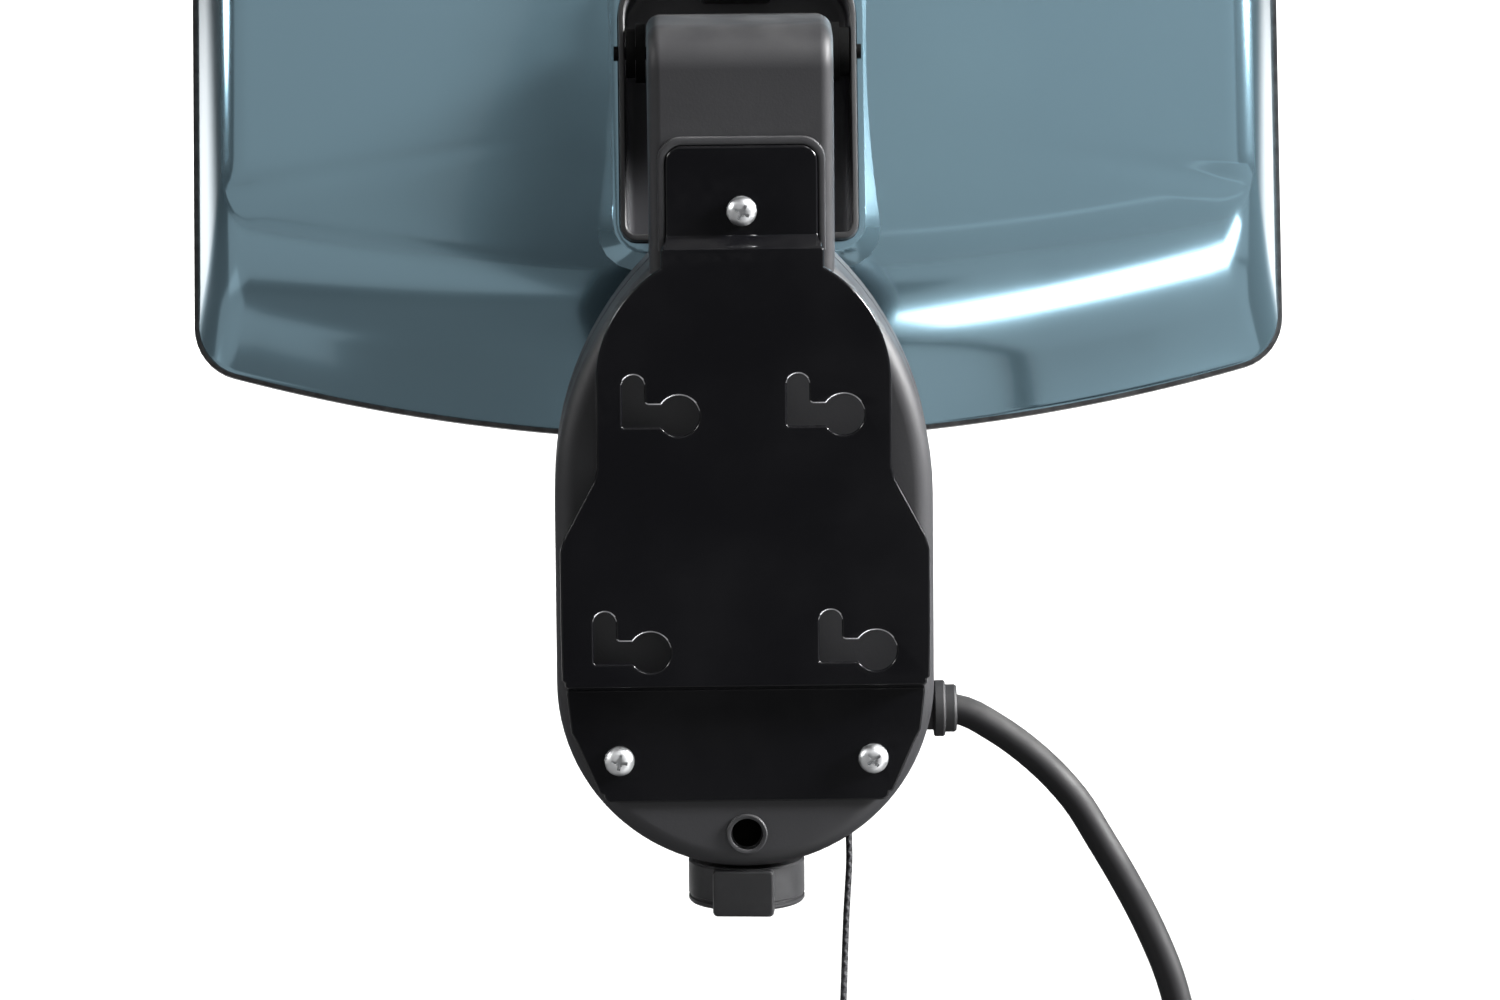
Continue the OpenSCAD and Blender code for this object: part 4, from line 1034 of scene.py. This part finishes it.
pad_n, pad_slope_x, pad_slope_w = 120, 1.2, 0.7
pad_edge = spaced(rounded(38, -61, 48, 9, 9), pad_n)
pad_out = []
for i, p in enumerate(pad_edge):
    along = pad_edge[(i + 1) % pad_n] - pad_edge[i - 1]
    pad_out.append(Vector((along.y, -along.x)).normalized())
pad_levels = []
for share in (1.0, 0.8, 0.6, 0.4, 0.22, 0.1, 0.03):
    ring = []
    for p, out in zip(pad_edge, pad_out):
        slope = pad_slope_x * out.x ** 2 + pad_slope_w * out.y ** 2
        q = p + out * (pad_step + slope * (skin(p.x, p.y) - pad_rear)) * share
        ring.append(on_hood(q.x, pad_rear + (skin(q.x, q.y) + pad_sink - pad_rear) * share, q.y))
    pad_levels.append(ring)
for drawn_in, depth in ((0.4, 0.02), (1.2, 0.0)):
    pad_levels.append(hood_level([p - out * drawn_in for p, out in zip(pad_edge, pad_out)],
                                 pad_rear + depth))
mouth = [to_mouth(tub_outline(-0.35), p.x, p.y) for p in pad_edge]
pad_levels += [hood_level(mouth, pad_rear), hood_level(mouth, pad_back)]
pad_levels.append(hood_level([p + out * pad_tuck for p, out in zip(pad_edge, pad_out)], pad_back))
pad_mesh = loft("pad", pad_levels, 30, around=True)
enamel = finish("blue_grey_metallic", (0.285, 0.465, 0.565), 0.13, metallic=0.9, coat=1.0,
                grain_size=0.003, grain_height=0.000001, tint=(1.03, 1.03, 1.02), dull=0.04,
                dust=0.02, patch=14)
hood = joined("hood_pan_enamelled", [hood_mesh, pad_mesh], "hood", enamel)
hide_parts("hood_shell")


# -------------------- pocket and tilt pin
# A black moulded tub let into the hood's back, open to the wall: the neck's barrel
# turns inside it on the tilt pin, whose capped ends show beside it.

satin_black = finish("satin_black_plastic", (0.011, 0.011, 0.012), 0.52, grain_height=0.00002,
                     dull=0.12, dust=0.05)
tub_ways = [(0, 20), (0, tub_rear + 0.7), (0.2, tub_rear + 0.2), (0.7, tub_rear),
            (1.5, tub_rear), (1.9, tub_rear + 0.3), (2.0, tub_rear + 0.9), (2.0, tub_floor - 2.5),
            (2.8, tub_floor - 0.8), (4.6, tub_floor)]
tub_body = loft("tub", [hood_level(tub_outline(inset), d) for inset, d in tub_ways], angle=32)
flange_edge, flange_from, flange_to = rounded(45, -62.8, 35, 5, 5), 8.05, 10
flange_rings = [hood_level(spaced(outline, 96), d) for outline, d in (
    (flange_edge, flange_from), (flange_edge, flange_to), (tub_outline(0.1), flange_to),
    (tub_outline(0.1), flange_from))]
flange = loft("flange", flange_rings, around=True)
rib = loft("rib", [hood_level(rounded(10.5, 18, 26, 1.5, 1.5), d) for d in (7, 7.6, tub_floor)])
tub_inside_painted_light = finish("tub_inside_painted_light", (0.06, 0.06, 0.065), 0.5)
tub = joined("pocket", [tub_body, flange, rib], "hood", satin_black, tub_inside_painted_light)
# Faces deeper in the pocket take a lighter grey than its black lip: painted light on the pocket's
# inside
inside_from = 1.5
for face in tub.data.polygons:
    if (face.center - hood_at).dot(hood_d) > inside_from * mm:
        face.material_index = 1
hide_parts("pocket_tub")
dress(satin_black, "switch_body", "selector_switch", "cord_tie", "pull_toggle")
fibre = finish("black_fibre", (0.002, 0.002, 0.002), 0.8, grain_size=0.0008, ior=1.2)
dress(fibre, "pin_caps", "tilt_pin", "friction_washers")


# -------------------- hood front
# A black frame holds the chromed guard over three quartz tubes, which lie in the
# troughs of a polished reflector.

frame_paint = finish("frame_paint", (0.012, 0.012, 0.013), 0.3, coat=0.3, grain_size=0.0008,
                     wear=0.2, worn=(0.15, 0.15, 0.15), dust=0.05)
frame_lip, frame_t = 1.0, 4.0


def frame_ring(inset, rise, corner):
    """A ring of the frame, drawn in from the hood's rim and risen from it."""
    outline = bow_outline(rim_hw - inset, rim_hh - inset, bow_r - inset, corner)
    return hood_level(outline, rim_d + rise)


frame_rings = []
for inset, rise in ((0.0, 0.0), (0.0, 2.9), (0.3, 3.6), (1.0, frame_t)):
    inset -= frame_lip
    frame_rings.append(frame_ring(inset, rise, rim_corner - inset))
for inset, rise in ((18.6, frame_t), (19.6, 3.7), (20.0, 3.0), (20.0, 0.0)):
    frame_rings.append(frame_ring(inset, rise, 9))
front_frame = place(loft("bezel", frame_rings, around=True), "bezel", "hood", frame_paint)
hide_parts("front_frame")
turned_over = (pi - rest_tilt, 0, 0)
frame_screws = set_copies(
    "bezel_screws", pan_head(2.8, 1.8, 1.5, 9),
    [(on_hood(x, rim_d + frame_t, w), turned_over) for x in (-120, 120) for w in (-84, 84)],
    zinc, "hood")
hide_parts("frame_screws")

chrome = finish("bright_chrome", (0.78, 0.79, 0.81), 0.08, metallic=1.0, grain_size=0.002,
                grain_height=0.000004, dull=0.1, patch=60)

# Guard wires: rows of round wire, each as wide as the frame's opening there
guarding, taken, given = node_group(
    "guard_wires",
    [("Rows", "Int", 7), ("Pitch", "Float", 0.02), ("Half width", "Float", 0.1457),
     ("Bow", "Float", 0.564), ("Half height", "Float", 0.0907), ("Radius", "Float", 0.0012),
     ("Finish", "Material", None)], [("Wires", "Geometry")], "Geometry")
gaps = maths(guarding, "SUBTRACT", taken["Rows"], 1.0)
lowest = maths(guarding, "MULTIPLY", maths(guarding, "MULTIPLY", gaps, -0.5), taken["Pitch"])
rows = node(guarding, "GeometryNodeMeshLine", Count=taken["Rows"],
            Start_Location=node(guarding, "ShaderNodeCombineXYZ", Z=lowest)[0],
            Offset=node(guarding, "ShaderNodeCombineXYZ", Z=taken["Pitch"])[0])
position = node(guarding, "GeometryNodeInputPosition")[0]
height = node(guarding, "ShaderNodeSeparateXYZ", Vector=position)["Z"]
room_left = maths(guarding, "SUBTRACT", taken["Half height"], maths(guarding, "ABSOLUTE", height))
room_left = maths(guarding, "MULTIPLY", maths(guarding, "MULTIPLY", room_left, 2.0), taken["Bow"])
half = maths(guarding, "MINIMUM", maths(guarding, "SQRT", room_left), taken["Half width"])
unit_line = node(guarding, "GeometryNodeCurvePrimitiveLine", Start=(-1, 0, 0), End=(1, 0, 0))
along = node(guarding, "GeometryNodeInstanceOnPoints", Points=rows["Mesh"],
             Instance=unit_line["Curve"],
             Scale=node(guarding, "ShaderNodeCombineXYZ", X=half, Y=1, Z=1)[0])
real = node(guarding, "GeometryNodeRealizeInstances", Geometry=along["Instances"])
round_wire = node(guarding, "GeometryNodeCurvePrimitiveCircle", Resolution=14,
                  Radius=taken["Radius"])
swept = node(guarding, "GeometryNodeCurveToMesh", Curve=real["Geometry"],
             Profile_Curve=round_wire["Curve"], Fill_Caps=True)
painted = node(guarding, "GeometryNodeSetMaterial", Geometry=swept["Mesh"],
               Material=taken["Finish"])
give(guarding, given["Wires"], painted["Geometry"])
guard_holder = show("guard_holder", bpy.data.meshes.new("guard_holder"))
wires = grown(guard_holder, guarding, Finish=chrome)
wire_r, wire_play = 1.2, 0.4
wire_d = rim_d + frame_t - wire_r - wire_play
for v in wires.vertices:
    v.co = on_hood(v.co.x / mm, wire_d + v.co.y / mm, v.co.z / mm)
form = bmesh.new()
form.from_mesh(wires)
for x in (-100, 0, 100):
    line = flow([on_hood(x, wire_d - 2.1, w) for w in (-62, -30, 0, 30, 62)], 2)
    form.from_mesh(tube("cross_wire", line, wire_r * mm, 14))
guard = place(settle(form, wires, 60), "guard_wires", "hood", chrome)
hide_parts("guard_grille")

polished = finish("polished_aluminium", (0.82, 0.83, 0.84), 0.2, metallic=1.0, grain_size=0.004,
                  dull=0.06, patch=50)
dress(polished, "reflector")
milky = finish("milky_quartz", (0.86, 0.83, 0.77), 0.22, grain_size=0.003, coat=0.6, dull=0.1)
dress(milky, "quartz_tubes")
steatite = finish("steatite", (0.72, 0.69, 0.62), 0.5, grain_size=0.0008, dull=0.1)
dress(steatite, "ceramic_caps", "hood_terminal_block")
nylon = finish("natural_nylon", (0.62, 0.61, 0.56), 0.45, grain_size=0.0008)
dress(nylon, "cord_clamp", "terminal_block", "switch_lever")
sleeve = finish("silicone_sleeve", (0.6, 0.59, 0.55), 0.55)
dress(sleeve, "neck_cable", "hood_wires")
brass = finish("bright_brass", (0.7, 0.5, 0.22), 0.28, metallic=1.0)
dress(brass, "terminal_screws", "shaft_bush")
